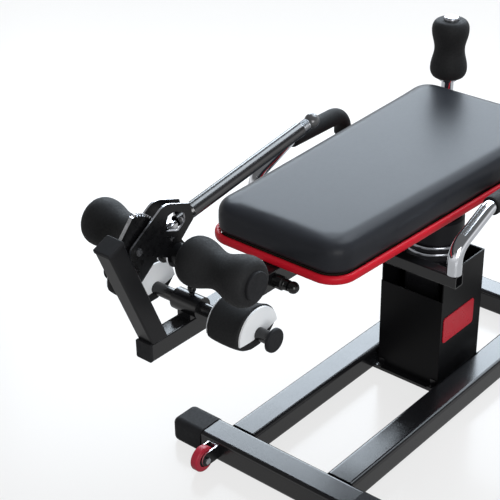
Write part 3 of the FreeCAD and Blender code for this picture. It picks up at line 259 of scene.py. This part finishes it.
def pick(piece, test, kind="VERT"):
    """In edit mode, selects the vertices, edges or faces whose middle passes a test."""
    bpy.ops.mesh.select_mode(type=kind)
    bpy.ops.mesh.select_all(action="DESELECT")
    bpy.ops.object.mode_set(mode="OBJECT")
    mesh = piece.data
    if kind == "VERT":
        for vertex in mesh.vertices:
            vertex.select = test(vertex.co)
    elif kind == "EDGE":
        for edge in mesh.edges:
            ends = [mesh.vertices[i].co for i in edge.vertices]
            edge.select = test(*ends)
    else:
        for face in mesh.polygons:
            face.select = test(face.center, face.normal)
    bpy.ops.object.mode_set(mode="EDIT")


def smooth(piece, angle=40):
    take(piece)
    bpy.ops.object.shade_smooth_by_angle(angle=math.radians(angle))


def apply_modifier(piece, kind, **settings):
    """Adds a modifier, sets it and applies it."""
    take(piece)
    bpy.ops.object.modifier_add(type=kind)
    modifier = piece.modifiers[-1]
    for key, value in settings.items():
        setattr(modifier, key, value)
    bpy.ops.object.modifier_apply(modifier=modifier.name)


AXES = {"X": Vector((1, 0, 0)), "Y": Vector((0, 1, 0)), "Z": Vector((0, 0, 1))}
TURNS = {"X": (0, math.pi / 2, 0), "Y": (-math.pi / 2, 0, 0), "Z": (0, 0, 0)}


def turned(name, centre, axis, profile, sides):
    """A turned piece: rings of (radius, place along the axis), drawn in order and closed on the first."""
    deselect_all()
    way = AXES[axis]
    radius, along = profile[0]
    bpy.ops.mesh.primitive_circle_add(
        vertices=sides, radius=radius, location=centre + way * along, rotation=TURNS[axis]
    )
    piece = bpy.context.object
    settle(piece, name)
    bpy.ops.object.mode_set(mode="EDIT")
    bpy.ops.mesh.select_all(action="SELECT")
    spread = Vector((1, 1, 1)) - way
    for new_radius, new_along in profile[1:]:
        bpy.ops.mesh.extrude_region_move(TRANSFORM_OT_translate={"value": way * (new_along - along)})
        scale = new_radius / radius
        bpy.ops.transform.resize(
            value=tuple(spread * scale + way), center_override=centre + way * new_along
        )
        radius, along = new_radius, new_along
    bpy.ops.mesh.select_all(action="SELECT")
    bpy.ops.mesh.remove_doubles(threshold=0.00002)
    bpy.ops.mesh.normals_make_consistent(inside=False)
    bpy.ops.object.mode_set(mode="OBJECT")
    return piece


def copy_of(node, name):
    """A merged copy of a CAD node's mesh, to be worked on as a new piece."""
    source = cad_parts[node]
    take(source)
    bpy.ops.object.duplicate()
    piece = bpy.context.object
    for key in list(piece.keys()):
        del piece[key]
    piece.parent = None
    piece.data.materials.clear()
    piece.name = name
    piece.data.name = name
    bpy.ops.object.mode_set(mode="EDIT")
    bpy.ops.mesh.select_all(action="SELECT")
    bpy.ops.mesh.remove_doubles(threshold=0.00001)
    bpy.ops.object.mode_set(mode="OBJECT")
    return piece


def done(piece, body, material, node=None):
    """Finishes a piece: its material, its body, and what it stands for."""
    piece.data.materials.clear()
    piece.data.materials.append(material)
    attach(piece, body)
    if node:
        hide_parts(*([node] if isinstance(node, str) else node))
    return piece


# ---------------------------------------------------------------- finishes


class Finish:
    """A node material that is built up step by step."""

    def __init__(self, name):
        self.material = bpy.data.materials.new(name)
        self.material.use_nodes = True
        self.tree = self.material.node_tree
        self.shader = self.tree.nodes["Principled BSDF"]
        self.coordinates = self.add("ShaderNodeTexCoord").outputs["Object"]
        self.height = None

    def add(self, kind, **settings):
        node = self.tree.nodes.new(kind)
        for key, value in settings.items():
            setattr(node, key, value)
        return node

    def link(self, out, into):
        self.tree.links.new(out, into)

    def set(self, **values):
        for key, value in values.items():
            self.shader.inputs[key.replace("_", " ")].default_value = value
        return self

    def noise(self, scale, detail=2.0, roughness=0.5, stretch=None):
        node = self.add("ShaderNodeTexNoise")
        node.inputs["Scale"].default_value = scale
        node.inputs["Detail"].default_value = detail
        node.inputs["Roughness"].default_value = roughness
        source = self.coordinates
        if stretch:
            mapping = self.add("ShaderNodeMapping")
            mapping.inputs["Scale"].default_value = stretch
            self.link(source, mapping.inputs["Vector"])
            source = mapping.outputs["Vector"]
        self.link(source, node.inputs["Vector"])
        return node.outputs["Fac"]

    def cells(self, scale):
        node = self.add("ShaderNodeTexVoronoi", feature="DISTANCE_TO_EDGE")
        node.inputs["Scale"].default_value = scale
        self.link(self.coordinates, node.inputs["Vector"])
        return node.outputs["Distance"]

    def spread(self, fac, low, high, from_low=0.35, from_high=0.65):
        node = self.add("ShaderNodeMapRange")
        node.inputs["From Min"].default_value = from_low
        node.inputs["From Max"].default_value = from_high
        node.inputs["To Min"].default_value = low
        node.inputs["To Max"].default_value = high
        self.link(fac, node.inputs["Value"])
        return node.outputs["Result"]

    def mix(self, fac, first, second):
        node = self.add("ShaderNodeMix", data_type="RGBA")
        for place, value in ((6, first), (7, second)):
            if isinstance(value, bpy.types.NodeSocket):
                self.link(value, node.inputs[place])
            else:
                node.inputs[place].default_value = (*value, 1)
        self.link(fac, node.inputs[0])
        return node.outputs[2]

    def colour(self, out):
        self.link(out, self.shader.inputs["Base Color"])
        return self

    def rough(self, out):
        self.link(out, self.shader.inputs["Roughness"])
        return self

    def bump(self, out, depth, strength=1.0):
        """Adds a relief; each new one lies on the last."""
        node = self.add("ShaderNodeBump")
        node.inputs["Distance"].default_value = depth
        node.inputs["Strength"].default_value = strength
        self.link(out, node.inputs["Height"])
        if self.height:
            self.link(self.height, node.inputs["Normal"])
        self.height = node.outputs["Normal"]
        self.link(self.height, self.shader.inputs["Normal"])
        return self


PLATED = (0.7, 0.71, 0.73)
DULL_PLATED = (0.3, 0.31, 0.33)
# bright metal colour painted on plate edges as a highlight
EDGE_HIGHLIGHT = (0.85, 0.86, 0.9)
BLACK_GLOSS = (0.006, 0.006, 0.0065)


def shade(colour, factor):
    return tuple(min(1.0, channel * factor) for channel in colour)


def powder_coat(name, colour, roughness, specular):
    """Baked-on satin paint with a faint orange-peel surface."""
    finish = Finish(name)
    grain = 0.000012
    drift = finish.noise(14, 3)
    finish.colour(finish.mix(drift, shade(colour, 0.8), shade(colour, 1.3)))
    finish.rough(finish.spread(finish.noise(35, 3), roughness - 0.008, roughness + 0.012))
    finish.bump(finish.noise(1400, 2), grain).bump(finish.noise(180, 2), grain, 0.5)
    finish.set(Specular_IOR_Level=specular)
    return finish.material


def moulded_plastic(name, colour, roughness, grain=0.00008):
    """Moulded plastic with a fine spark-eroded texture."""
    finish = Finish(name)
    finish.colour(finish.mix(finish.noise(40, 3), shade(colour, 0.75), shade(colour, 1.35)))
    finish.rough(finish.spread(finish.noise(200, 3), roughness - 0.05, roughness + 0.08))
    finish.bump(finish.cells(900), grain, 0.7).bump(finish.noise(400, 3), grain, 0.6)
    finish.set(Specular_IOR_Level=0.12)
    return finish.material


def gloss_plastic(name, colour, roughness):
    finish = Finish(name)
    finish.colour(finish.mix(finish.noise(25, 2), shade(colour, 0.9), shade(colour, 1.12)))
    finish.rough(finish.spread(finish.noise(90, 4), roughness - 0.03, roughness + 0.05))
    finish.bump(finish.noise(70, 2), 0.00002)
    finish.set(Specular_IOR_Level=0.35)
    return finish.material


def foam_skin(name, colour):
    """Closed-cell foam: a soft dull skin full of tiny pores."""
    finish = Finish(name)
    finish.colour(finish.mix(finish.noise(30, 4), shade(colour, 0.75), shade(colour, 1.35)))
    finish.rough(finish.spread(finish.noise(300, 3), 0.62, 0.78))
    finish.bump(finish.noise(1200, 3, 0.7), 0.00016, 0.7).bump(finish.noise(45, 2), 0.0003, 0.5)
    finish.set(Specular_IOR_Level=0.22, Sheen_Weight=0.02, Sheen_Roughness=0.4)
    return finish.material


def leather(name, colour, roughness, specular):
    """Coated vinyl leather with a fine pebbled grain and shallow creases."""
    finish = Finish(name)
    finish.colour(finish.mix(finish.noise(20, 4), shade(colour, 0.92), shade(colour, 1.08)))
    finish.rough(finish.spread(finish.noise(140, 4), roughness - 0.01, roughness + 0.02))
    finish.bump(finish.cells(700), 0.00002, 0.6).bump(finish.noise(1300, 3), 0.000015, 0.6)
    finish.bump(finish.noise(6, 2, stretch=(1, 1.5, 1)), 0.0006, 0.25)
    finish.set(Specular_IOR_Level=specular)
    return finish.material


def bright_metal(name, colour, roughness):
    """Bare or plated metal with fine scratches."""
    finish = Finish(name)
    scratches = finish.noise(420, 5, 0.6)
    finish.colour(finish.mix(finish.noise(30, 3), shade(colour, 0.86), colour))
    finish.rough(finish.spread(scratches, roughness * 0.8, roughness * 1.35))
    finish.bump(scratches, 0.00002, 0.5)
    finish.set(Metallic=1.0)
    return finish.material


def distance_mask(finish, centre, radius, softness=0.0008):
    """1 outside a ball round a point, 0 inside it."""
    mapping = finish.add("ShaderNodeMapping")
    mapping.inputs["Location"].default_value = tuple(-place for place in centre)
    finish.link(finish.coordinates, mapping.inputs["Vector"])
    length = finish.add("ShaderNodeVectorMath", operation="LENGTH")
    finish.link(mapping.outputs["Vector"], length.inputs[0])
    return finish.spread(length.outputs["Value"], 0.0, 1.0, radius - softness, radius + softness)


def coated_with_painted_edge_highlight(name, colour, edge_highlight_colour):
    """Painted plate whose cut edges, which face away from Y, get a bright metal colour as a painted
    highlight.
    """
    finish = Finish(name)
    facing = finish.add("ShaderNodeSeparateXYZ")
    normal = [node for node in finish.tree.nodes if node.type == "TEX_COORD"][0].outputs["Normal"]
    finish.link(normal, facing.inputs["Vector"])
    size = finish.add("ShaderNodeMath", operation="ABSOLUTE")
    finish.link(facing.outputs["Y"], size.inputs[0])
    # painted highlight: faces that do not face Y turn bright and metallic
    edge = finish.spread(size.outputs["Value"], 1.0, 0.0, 0.3, 0.7)
    finish.colour(finish.mix(edge, shade(colour, 0.8), edge_highlight_colour))
    finish.rough(finish.spread(finish.noise(150, 3), 0.26, 0.4))
    finish.link(edge, finish.shader.inputs["Metallic"])
    finish.bump(finish.noise(900, 2), 0.00002)
    finish.set(Specular_IOR_Level=0.3)
    return finish.material


def coat_with_plated_end(name, colour, centre, radius, roughness):
    """Painted tube whose end, within a radius of a point, is a plated spring."""
    finish = Finish(name)
    painted = distance_mask(finish, centre, radius)
    finish.colour(finish.mix(painted, DULL_PLATED, colour))
    finish.rough(finish.spread(finish.noise(35, 3), roughness - 0.02, roughness + 0.03))
    finish.link(finish.spread(painted, 1.0, 0.0, 0.0, 1.0), finish.shader.inputs["Metallic"])
    finish.bump(finish.noise(900, 2), 0.00001)
    finish.set(Specular_IOR_Level=1.0)
    return finish.material


def knob_and_rod(name, colour, ball_centre, ball_radius):
    """Black gloss ball on a plated pull rod."""
    finish = Finish(name)
    away = distance_mask(finish, ball_centre, ball_radius)
    finish.colour(finish.mix(away, colour, PLATED))
    finish.rough(finish.spread(finish.noise(120, 3), 0.1, 0.2))
    finish.link(away, finish.shader.inputs["Metallic"])
    finish.bump(finish.noise(300, 3), 0.00001)
    finish.set(Specular_IOR_Level=0.6)
    return finish.material


KNOB_RADIUS = 0.012
SPRING_REACH = 0.0195  # from the knob's surface to the painted tube
BALL_SKIN = 0.0006

finishes = {}


def make_finishes(settings):
    coat = tuple(settings.coat)
    ball_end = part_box("lever_knob")[1]
    ball_centre = (ball_end.x - KNOB_RADIUS, 0.0, ball_end.z - KNOB_RADIUS)
    finishes.update(
        frame_coat=powder_coat("satin_black_frame", coat, 0.22, 0.55),
        arm_coat=powder_coat("satin_black_arm", coat, 0.34, 0.25),
        housing=powder_coat("black_housing", shade(coat, 0.5), 0.34, 0.12),
        cap=moulded_plastic("textured_black_caps", (0.016, 0.0163, 0.018), 0.55),
        drum=moulded_plastic("moulded_black_drum", (0.011, 0.011, 0.013), 0.36, 0.00004),
        wheel=gloss_plastic("red_wheel_tread", tuple(settings.wheel), 0.38),
        stripe=gloss_plastic("red_stripe", (0.6, 0.012, 0.03), 0.3),
        bolts=bright_metal("zinc_bolts", (0.45, 0.46, 0.49), 0.28),
        # the bracket, toothed plate and clamp plates carry a painted highlight on their edges
        bracket=coated_with_painted_edge_highlight("bent_steel_bracket", coat, (0.85, 0.86, 0.88)),
        chrome=bright_metal("chromed_tube", (0.72, 0.74, 0.78), 0.1),
        dark_chrome=bright_metal("dark_chromed_bands", (0.32, 0.33, 0.36), 0.18),
        lever=coat_with_plated_end("gloss_black_lever", coat, ball_centre, KNOB_RADIUS + SPRING_REACH, 0.24),
        leather=leather("black_vinyl_leather", tuple(settings.leather), 0.34, 0.09),
        band=leather("red_vinyl_band", tuple(settings.band), 0.4, 0.2),
        foam=foam_skin("black_foam", tuple(settings.foam)),
        plate=gloss_plastic("white_heel_plate", tuple(settings.plate), 0.34),
        knob=gloss_plastic("black_gloss_knob", BLACK_GLOSS, 0.16),
        board=moulded_plastic("board_underside", (0.02, 0.016, 0.012), 0.7, 0.0003),
        sector=coated_with_painted_edge_highlight("toothed_plate", shade(coat, 0.6), (0.9, 0.91, 0.94)),
        clamp=coated_with_painted_edge_highlight("clamp_plate_coat", shade(coat, 0.8), EDGE_HIGHLIGHT),
        lever_knob=knob_and_rod("ball_and_rod", BLACK_GLOSS, ball_centre, KNOB_RADIUS + BALL_SKIN),
    )


CAD_FINISHES = {
    "frame_coat": (
        "front_crossbar rear_crossbar left_rail right_rail foot_plate column_post yoke bed_spine "
        "tilt_bearing handle_crossbars head_crossbar boom axle_sleeve heel_axle foot_roller_axle"
    ),
    "arm_coat": "ankle_arm clamp_hub",
    "housing": "housing_shell front_panel",
    "cap": "end_caps boom_end_cap arm_top_cap heel_caps foot_roller_caps left_wheel_hub right_wheel_hub",
    "drum": "column_drum",
    "wheel": "left_wheel_tyre right_wheel_tyre",
    "stripe": "side_stripes",
    "bolts": "wheel_bolts tilt_shaft yoke_bolts ratchet_bolt post_caps",
    "bracket": "wheel_brackets",
    "chrome": "side_handles head_posts pawl",
    "dark_chrome": "drum_bands",
    "lever": "lever_tube",
    "plate": "heel_plates",
    "knob": "pop_pin thumb_screw",
    "board": "pad_board",
    "sector": "toothed_sector",
    "clamp": "clamp_plates",
    "lever_knob": "lever_knob",
}


# ---------------------------------------------------------------- operators


class ROMANCHAIR_OT_finish_frame(bpy.types.Operator):
    """Give every node of the CAD frame its finish"""

    bl_idname = "romanchair.finish_frame"
    bl_label = "Finish the frame"

    def execute(self, context):
        make_finishes(context.scene.chair_finishes)
        for finish, names in CAD_FINISHES.items():
            for name in names.split():
                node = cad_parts[name]
                for place in range(max(1, len(node.material_slots))):
                    if not node.material_slots:
                        node.data.materials.append(finishes[finish])
                    node.material_slots[place].material = finishes[finish]
        return {"FINISHED"}


def tapered_slab(name, low, high, front_share, corner):
    """A slab with round corners whose foot end is narrower than its head end."""
    deselect_all()
    bpy.ops.mesh.primitive_cube_add(size=1, location=(low + high) / 2, scale=high - low)
    slab = settle(bpy.context.object, name)
    middle = (low.x + high.x) / 2
    bpy.ops.object.mode_set(mode="EDIT")
    pick(slab, lambda co: co.x < middle)
    bpy.ops.transform.resize(value=(1, front_share, 1), center_override=(low.x, 0, low.z))
    pick(slab, lambda a, b: abs(a.z - b.z) > 0.5 * (high.z - low.z), "EDGE")
    bpy.ops.mesh.bevel(offset=corner, segments=12, profile=0.5, affect="EDGES")
    bpy.ops.object.mode_set(mode="OBJECT")
    return slab


def round_rim(slab, height, radius, segments):
    """Rounds the slab's rim at one height."""
    take(slab)
    bpy.ops.object.mode_set(mode="EDIT")
    pick(slab, lambda a, b: abs(a.z - height) < 1e-5 and abs(b.z - height) < 1e-5, "EDGE")
    bpy.ops.mesh.bevel(offset=radius, segments=segments, profile=0.5, affect="EDGES")
    bpy.ops.object.mode_set(mode="OBJECT")


CLOTH_FRAMES = 20


def inflate(piece, voxel, swell, held_below, pressure=0.5):
    """Puffs a cover up with air for a moment, holds its underside, and limits how far it may move."""
    apply_modifier(piece, "REMESH", mode="VOXEL", voxel_size=voxel)
    rest = [vertex.co.copy() for vertex in piece.data.vertices]
    group = piece.vertex_groups.new(name="held")
    group.add([v.index for v in piece.data.vertices if v.co.z < held_below], 1.0, "REPLACE")
    take(piece)
    bpy.ops.object.modifier_add(type="CLOTH")
    cloth = piece.modifiers[-1]
    cloth.settings.use_pressure = True
    cloth.settings.uniform_pressure_force = pressure
    cloth.settings.vertex_group_mass = "held"
    cloth.settings.effector_weights.gravity = 0.0
    cloth.point_cache.frame_start = 1
    cloth.point_cache.frame_end = CLOTH_FRAMES
    scene = bpy.context.scene
    for frame_number in range(1, CLOTH_FRAMES + 1):
        scene.frame_set(frame_number)
    bpy.ops.object.modifier_apply(modifier=cloth.name)
    scene.frame_set(1)
    for vertex, start in zip(piece.data.vertices, rest):
        move = vertex.co - start
        if move.length > swell:
            vertex.co = start + move.normalized() * swell
    piece.vertex_groups.clear()
    apply_modifier(piece, "SMOOTH", factor=0.5, iterations=5)
    apply_modifier(piece, "SUBSURF", levels=1, render_levels=1)


def front_share_of(node):
    """How wide a tapered node's foot end is beside its head end."""
    low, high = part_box(node)
    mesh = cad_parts[node].data
    near = max(v.co.y for v in mesh.vertices if v.co.x < low.x + 0.06)
    return near / high.y


class ROMANCHAIR_OT_make_cushion(bpy.types.Operator):
    """Make the bed's cushion from a rounded slab, blown up a little like a stuffed cover"""

    bl_idname = "romanchair.make_cushion"
    bl_label = "Make the cushion"

    def execute(self, context):
        sizes = context.scene.chair_cushion
        low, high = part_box("seat_pad")
        room = Vector((0.003, 0.003, 0))
        low, high = low + room, high - room - Vector((0, 0, 0.004))
        cushion = tapered_slab("cushion", low, high, front_share_of("seat_pad"), sizes.corner)
        round_rim(cushion, high.z, sizes.edge, 7)
        round_rim(cushion, low.z, sizes.foot_edge, 3)
        inflate(cushion, sizes.voxel, sizes.swell, low.z + sizes.foot_edge)
        smooth(cushion, 60)
        done(cushion, "bed", finishes["leather"], "seat_pad")
        return {"FINISHED"}


class ROMANCHAIR_OT_make_band(bpy.types.Operator):
    """Make the red band that goes round the foot of the cushion"""

    bl_idname = "romanchair.make_band"
    bl_label = "Make the red band"

    def execute(self, context):
        sizes = context.scene.chair_cushion
        low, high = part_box("pad_trim")
        band = tapered_slab("red_band", low, high, front_share_of("pad_trim"), sizes.band_corner)
        take(band)
        bpy.ops.object.mode_set(mode="EDIT")
        pick(band, lambda centre, normal: abs(normal.z) > 0.9, "FACE")
        bpy.ops.mesh.inset(thickness=sizes.band_depth, use_even_offset=True)
        bpy.ops.mesh.delete(type="FACE")
        bpy.ops.mesh.select_mode(type="EDGE")
        bpy.ops.mesh.select_non_manifold(extend=False, use_boundary=True)
        bpy.ops.mesh.bridge_edge_loops()
        bpy.ops.mesh.select_all(action="SELECT")
        bpy.ops.mesh.normals_make_consistent(inside=False)
        bpy.ops.object.mode_set(mode="OBJECT")
        rounding = {"width": sizes.band_edge, "segments": 4}
        apply_modifier(band, "BEVEL", limit_method="ANGLE", angle_limit=math.radians(60), **rounding)
        apply_modifier(band, "SUBSURF", levels=1, render_levels=1)
        smooth(band, 60)
        done(band, "bed", finishes["band"], "pad_trim")
        return {"FINISHED"}


CORNER_STEPS = 6
BODY_STEPS = 28
FOAM_SKIN = 0.0006  # a roller stays this much inside its solid
HOLLOW = 2.2  # how sharply a roller's middle draws in


def bone_profile(bore, radius, length, waist, end_round):
    """Rings of a foam roller that is full at both ends and slim in the middle."""
    face = radius - end_round * 1.6
    depth = end_round * 1.5

    def corner(step):
        angle = math.pi / 2 * step / CORNER_STEPS
        return radius - end_round + end_round * math.sin(angle), depth * (1 - math.cos(angle))

    rings = [(bore, 0.0), (face, 0.0)]
    rings += [corner(step) for step in range(1, CORNER_STEPS + 1)]
    for step in range(1, BODY_STEPS):
        share = step / BODY_STEPS
        dip = math.sin(math.pi * share) ** HOLLOW
        rings.append((radius - (1 - waist) * radius * dip, depth + (length - 2 * depth) * share))
    for step in range(CORNER_STEPS, 0, -1):
        out, along = corner(step)
        rings.append((out, length - along))
    rings += [(face, length), (bore, length), (bore, 0.0)]
    return rings


class ROMANCHAIR_OT_make_rollers(bpy.types.Operator):
    """Make the four foam rollers"""

    bl_idname = "romanchair.make_rollers"
    bl_label = "Make the foam rollers"

    def execute(self, context):
        foam = context.scene.chair_foam
        kinds = (("foot", "Y", 0.01006, foam.waist), ("head", "Z", 0.01206, foam.head_waist))
        for hand in ("left", "right"):
            for place, axis, bore, waist in kinds:
                node = f"{hand}_{place}_roller"
                low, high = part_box(node)
                way = AXES[axis]
                radius = (high.x - low.x) / 2
                length = (high - low).dot(way)
                start = (low + high) / 2 - way * length / 2
                profile = bone_profile(bore, radius - FOAM_SKIN, length, waist, foam.end_round)
                roller = turned(f"{node}_foam", start, axis, profile, foam.sides)
                smooth(roller, 50)
                done(roller, f"{node}_body", finishes["foam"], node)
        return {"FINISHED"}


HEEL_CORE = 0.012  # the foam nearer to the axle than this keeps its shape
HEEL_SKIN = 0.033
HEEL_TOP = Vector((0.35, 0, 0.94))


class ROMANCHAIR_OT_make_heel_pads(bpy.types.Operator):
    """Make the two D-shaped heel pads, waisted between their plates"""

    bl_idname = "romanchair.make_heel_pads"
    bl_label = "Make the heel pads"

    def execute(self, context):
        foam = context.scene.chair_foam
        for hand in ("left", "right"):
            node = f"{hand}_heel_pad"
            pad = copy_of(node, f"{node}_foam")
            apply_modifier(pad, "REMESH", mode="VOXEL", voxel_size=foam.voxel)
            apply_modifier(pad, "SMOOTH", factor=0.5, iterations=12)
            low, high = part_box(node)
            middle, half = (low.y + high.y) / 2, (high.y - low.y) / 2
            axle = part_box("heel_axle")
            centre = (axle[0] + axle[1]) / 2
            for vertex in pad.data.vertices:
                out = Vector((vertex.co.x - centre.x, 0, vertex.co.z - centre.z))
                share = min(1.0, abs(vertex.co.y - middle) / half)
                depth = max(0.0, (out.length - HEEL_CORE) / HEEL_SKIN)
                upward = out.normalized().dot(HEEL_TOP)
                waist = foam.heel_waist * max(0.0, upward) ** 0.7 - foam.heel_swell * max(0.0, -upward)
                vertex.co -= out * waist * (1 - share**2.5) * depth
            smooth(pad, 50)
            done(pad, "heel_bar", finishes["foam"], node)
        return {"FINISHED"}


class ROMANCHAIR_OT_make_grips(bpy.types.Operator):
    """Make the foam grips on the side handles, with soft rounded ends"""

    bl_idname = "romanchair.make_grips"
    bl_label = "Make the grips"

    def execute(self, context):
        foam = context.scene.chair_foam
        for hand in ("left", "right"):
            node = f"{hand}_handle_grip"
            grip = copy_of(node, f"{node}_foam")
            apply_modifier(grip, "REMESH", mode="VOXEL", voxel_size=foam.voxel * 0.7)
            apply_modifier(grip, "SMOOTH", factor=0.5, iterations=6)
            smooth(grip, 50)
            done(grip, "bed", finishes["foam"], node)
        return {"FINISHED"}


PIN_BORE = 0.00407
BARREL_SIDES = 36  # every third one becomes a flute


class ROMANCHAIR_OT_make_pin_barrel(bpy.types.Operator):
    """Make the fluted barrel of the pop pin"""

    bl_idname = "romanchair.make_pin_barrel"
    bl_label = "Make the pin barrel"

    def execute(self, context):
        low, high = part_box("pin_barrel")
        radius = (high.x - low.x) / 2
        centre = Vector(((low.x + high.x) / 2, low.y, (low.z + high.z) / 2))
        length = high.y - low.y
        neck = radius - 0.0025
        rings = [
            (PIN_BORE, 0.0),
            (neck - 0.001, 0.0),
            (neck, 0.001),
            (neck, 0.0045),
            (radius, 0.006),
            (radius, length - 0.003),
            (radius - 0.0015, length),
            (PIN_BORE, length),
            (PIN_BORE, 0.0),
        ]
        barrel = turned("pin_barrel_fluted", centre, "Y", rings, BARREL_SIDES)
        middle = centre.y + length / 2

        def is_flute(at, normal):
            across, up = at.x - centre.x, at.z - centre.z
            side = round(math.atan2(up, across) / math.tau * BARREL_SIDES - 0.5)
            on_wall = abs(normal.y) < 0.1 and abs(at.y - middle) < length / 4
            return on_wall and math.hypot(across, up) > radius * 0.9 and side % 3 == 0

        bpy.ops.object.mode_set(mode="EDIT")
        pick(barrel, is_flute, "FACE")
        bpy.ops.mesh.inset(thickness=0.0003, depth=-0.0011)
        bpy.ops.object.mode_set(mode="OBJECT")
        smooth(barrel, 30)
        done(barrel, "bed", finishes["knob"], "pin_barrel")
        return {"FINISHED"}


# ---------------------------------------------------------------- stage


WINDOW_BLUE = (0.8, 0.9, 1.0)
SKY_BLUE = (0.84, 0.92, 1.0)
FLOOR_GREY = (0.075, 0.073, 0.071, 1)
CAMERA_PLACE = (-1.6223, -1.1759, 1.5027)
CAMERA_LOOK = Vector((0.6777, 0.5492, -0.4888))


def soft_lamp(name, place, target, width, height, power, tint=(1, 1, 1)):
    """A rectangular lamp that faces a target."""
    deselect_all()
    bpy.ops.object.light_add(type="AREA", location=place)
    lamp = bpy.context.object
    lamp.name = name
    lamp.data.shape = "RECTANGLE"
    lamp.data.size = width
    lamp.data.size_y = height
    lamp.data.energy = power
    lamp.data.color = tint
    lamp.rotation_euler = (target - Vector(place)).to_track_quat("-Z", "Y").to_euler()


def ray_share(tree, eye, mirror, other):
    """A value that differs for what the eye sees, for what mirrors and glass show, and for other light."""
    path = tree.nodes.new("ShaderNodeLightPath")
    value = other
    for ray, chosen in (("Is Transmission Ray", mirror), ("Is Glossy Ray", mirror), ("Is Camera Ray", eye)):
        node = tree.nodes.new("ShaderNodeMix")
        for place, part in ((2, value), (3, chosen)):
            if isinstance(part, bpy.types.NodeSocket):
                tree.links.new(part, node.inputs[place])
            else:
                node.inputs[place].default_value = part
        tree.links.new(path.outputs[ray], node.inputs[0])
        value = node.outputs[0]
    return value


def dim_ceiling(tree):
    """White round the horizon and dim overhead, like a room with a white sweep and a dark ceiling."""
    direction = tree.nodes.new("ShaderNodeTexCoord")
    parts = tree.nodes.new("ShaderNodeSeparateXYZ")
    tree.links.new(direction.outputs["Generated"], parts.inputs["Vector"])
    spread = tree.nodes.new("ShaderNodeMapRange")
    spread.inputs["From Min"].default_value = 0.08
    spread.inputs["From Max"].default_value = 0.4
    spread.inputs["To Min"].default_value = 1.0
    spread.inputs["To Max"].default_value = 0.16
    tree.links.new(parts.outputs["Z"], spread.inputs["Value"])
    return spread.outputs["Result"]


class ROMANCHAIR_OT_make_stage(bpy.types.Operator):
    """Set the floor, the world, the lamps and the camera"""

    bl_idname = "romanchair.make_stage"
    bl_label = "Make the stage"

    def execute(self, context):
        stage = context.scene.chair_stage
        scene = context.scene
        scene.view_settings.view_transform = "Standard"

        world = bpy.data.worlds.new("white_studio")
        world.use_nodes = True
        scene.world = world
        tree = world.node_tree
        background = tree.nodes["Background"]
        background.inputs["Color"].default_value = (1, 1, 1, 1)
        tree.links.new(ray_share(tree, 1.0, dim_ceiling(tree), 0.42), background.inputs["Strength"])

        deselect_all()
        bpy.ops.mesh.primitive_plane_add(size=40, location=(0, 0, -0.0005))
        floor = settle(bpy.context.object, "floor")
        paper = bpy.data.materials.new("white_gloss_floor")
        paper.use_nodes = True
        tree = paper.node_tree
        surface = tree.nodes["Principled BSDF"]
        surface.inputs["Base Color"].default_value = FLOOR_GREY
        surface.inputs["Roughness"].default_value = 0.2
        surface.inputs["Specular IOR Level"].default_value = 0.1
        glow = tree.nodes.new("ShaderNodeEmission")
        tree.links.new(ray_share(tree, 0.77, 0.45, 0.0), glow.inputs["Strength"])
        both = tree.nodes.new("ShaderNodeAddShader")
        tree.links.new(surface.outputs["BSDF"], both.inputs[0])
        tree.links.new(glow.outputs["Emission"], both.inputs[1])
        tree.links.new(both.outputs["Shader"], tree.nodes["Material Output"].inputs["Surface"])
        floor.data.materials.append(paper)

        middle = Vector((0, 0, 0.35))
        soft_lamp(
            "back_softbox", (4.95, 3.4, 3.3), middle, 5.4, 2.8, stage.back_light, WINDOW_BLUE
        )
        soft_lamp(
            "side_softbox", (3.9, -0.6, 3.5), middle, 2.8, 1.8, stage.side_light, WINDOW_BLUE
        )
        soft_lamp("top_softbox", (1.5, -0.2, 3.2), middle, 2.0, 1.6, stage.top_light, SKY_BLUE)
        soft_lamp("side_fill", (-1.6, -2.4, 1.2), middle, 1.6, 1.6, stage.fill_light)

        camera_data = bpy.data.cameras.new("camera")
        camera = bpy.data.objects.new("camera", camera_data)
        scene.collection.objects.link(camera)
        camera_data.lens = stage.lens
        camera_data.sensor_width = 36
        camera_data.shift_x = -0.08
        camera_data.clip_end = 60
        camera.location = CAMERA_PLACE
        camera.rotation_euler = CAMERA_LOOK.to_track_quat("-Z", "Y").to_euler()
        scene.camera = camera
        return {"FINISHED"}


# ---------------------------------------------------------------- panel and main

OPERATORS = (
    ROMANCHAIR_OT_finish_frame,
    ROMANCHAIR_OT_make_cushion,
    ROMANCHAIR_OT_make_band,
    ROMANCHAIR_OT_make_rollers,
    ROMANCHAIR_OT_make_heel_pads,
    ROMANCHAIR_OT_make_grips,
    ROMANCHAIR_OT_make_pin_barrel,
    ROMANCHAIR_OT_make_stage,
)


class ROMANCHAIR_PT_panel(bpy.types.Panel):
    """Lists the chair's settings and the operators that make it"""

    bl_idname = "ROMANCHAIR_PT_panel"
    bl_label = "Roman Chair"
    bl_space_type = "VIEW_3D"
    bl_region_type = "UI"
    bl_category = "Roman Chair"

    def draw(self, context):
        layout = self.layout
        for group_name in GROUPS:
            box = layout.box()
            box.label(text=group_name.replace("chair_", "").capitalize())
            group = getattr(context.scene, group_name)
            for key in group.bl_rna.properties.keys():
                if key not in ("rna_type", "name"):
                    box.prop(group, key)
        for operator in OPERATORS:
            layout.operator(operator.bl_idname)


GROUPS = {
    "chair_cushion": CushionSettings,
    "chair_foam": FoamSettings,
    "chair_finishes": FinishSettings,
    "chair_stage": StageSettings,
}
CLASSES = (*GROUPS.values(), *OPERATORS, ROMANCHAIR_PT_panel)


def register():
    for cls in CLASSES:
        bpy.utils.register_class(cls)
    for name, cls in GROUPS.items():
        setattr(bpy.types.Scene, name, bpy.props.PointerProperty(type=cls))


def unregister():
    for name in GROUPS:
        delattr(bpy.types.Scene, name)
    for cls in reversed(CLASSES):
        bpy.utils.unregister_class(cls)


def main():
    register()
    for operator in OPERATORS:
        group, _, name = operator.bl_idname.partition(".")
        getattr(getattr(bpy.ops, group), name)()
    deselect_all()


if __name__ == "__main__":
    main()
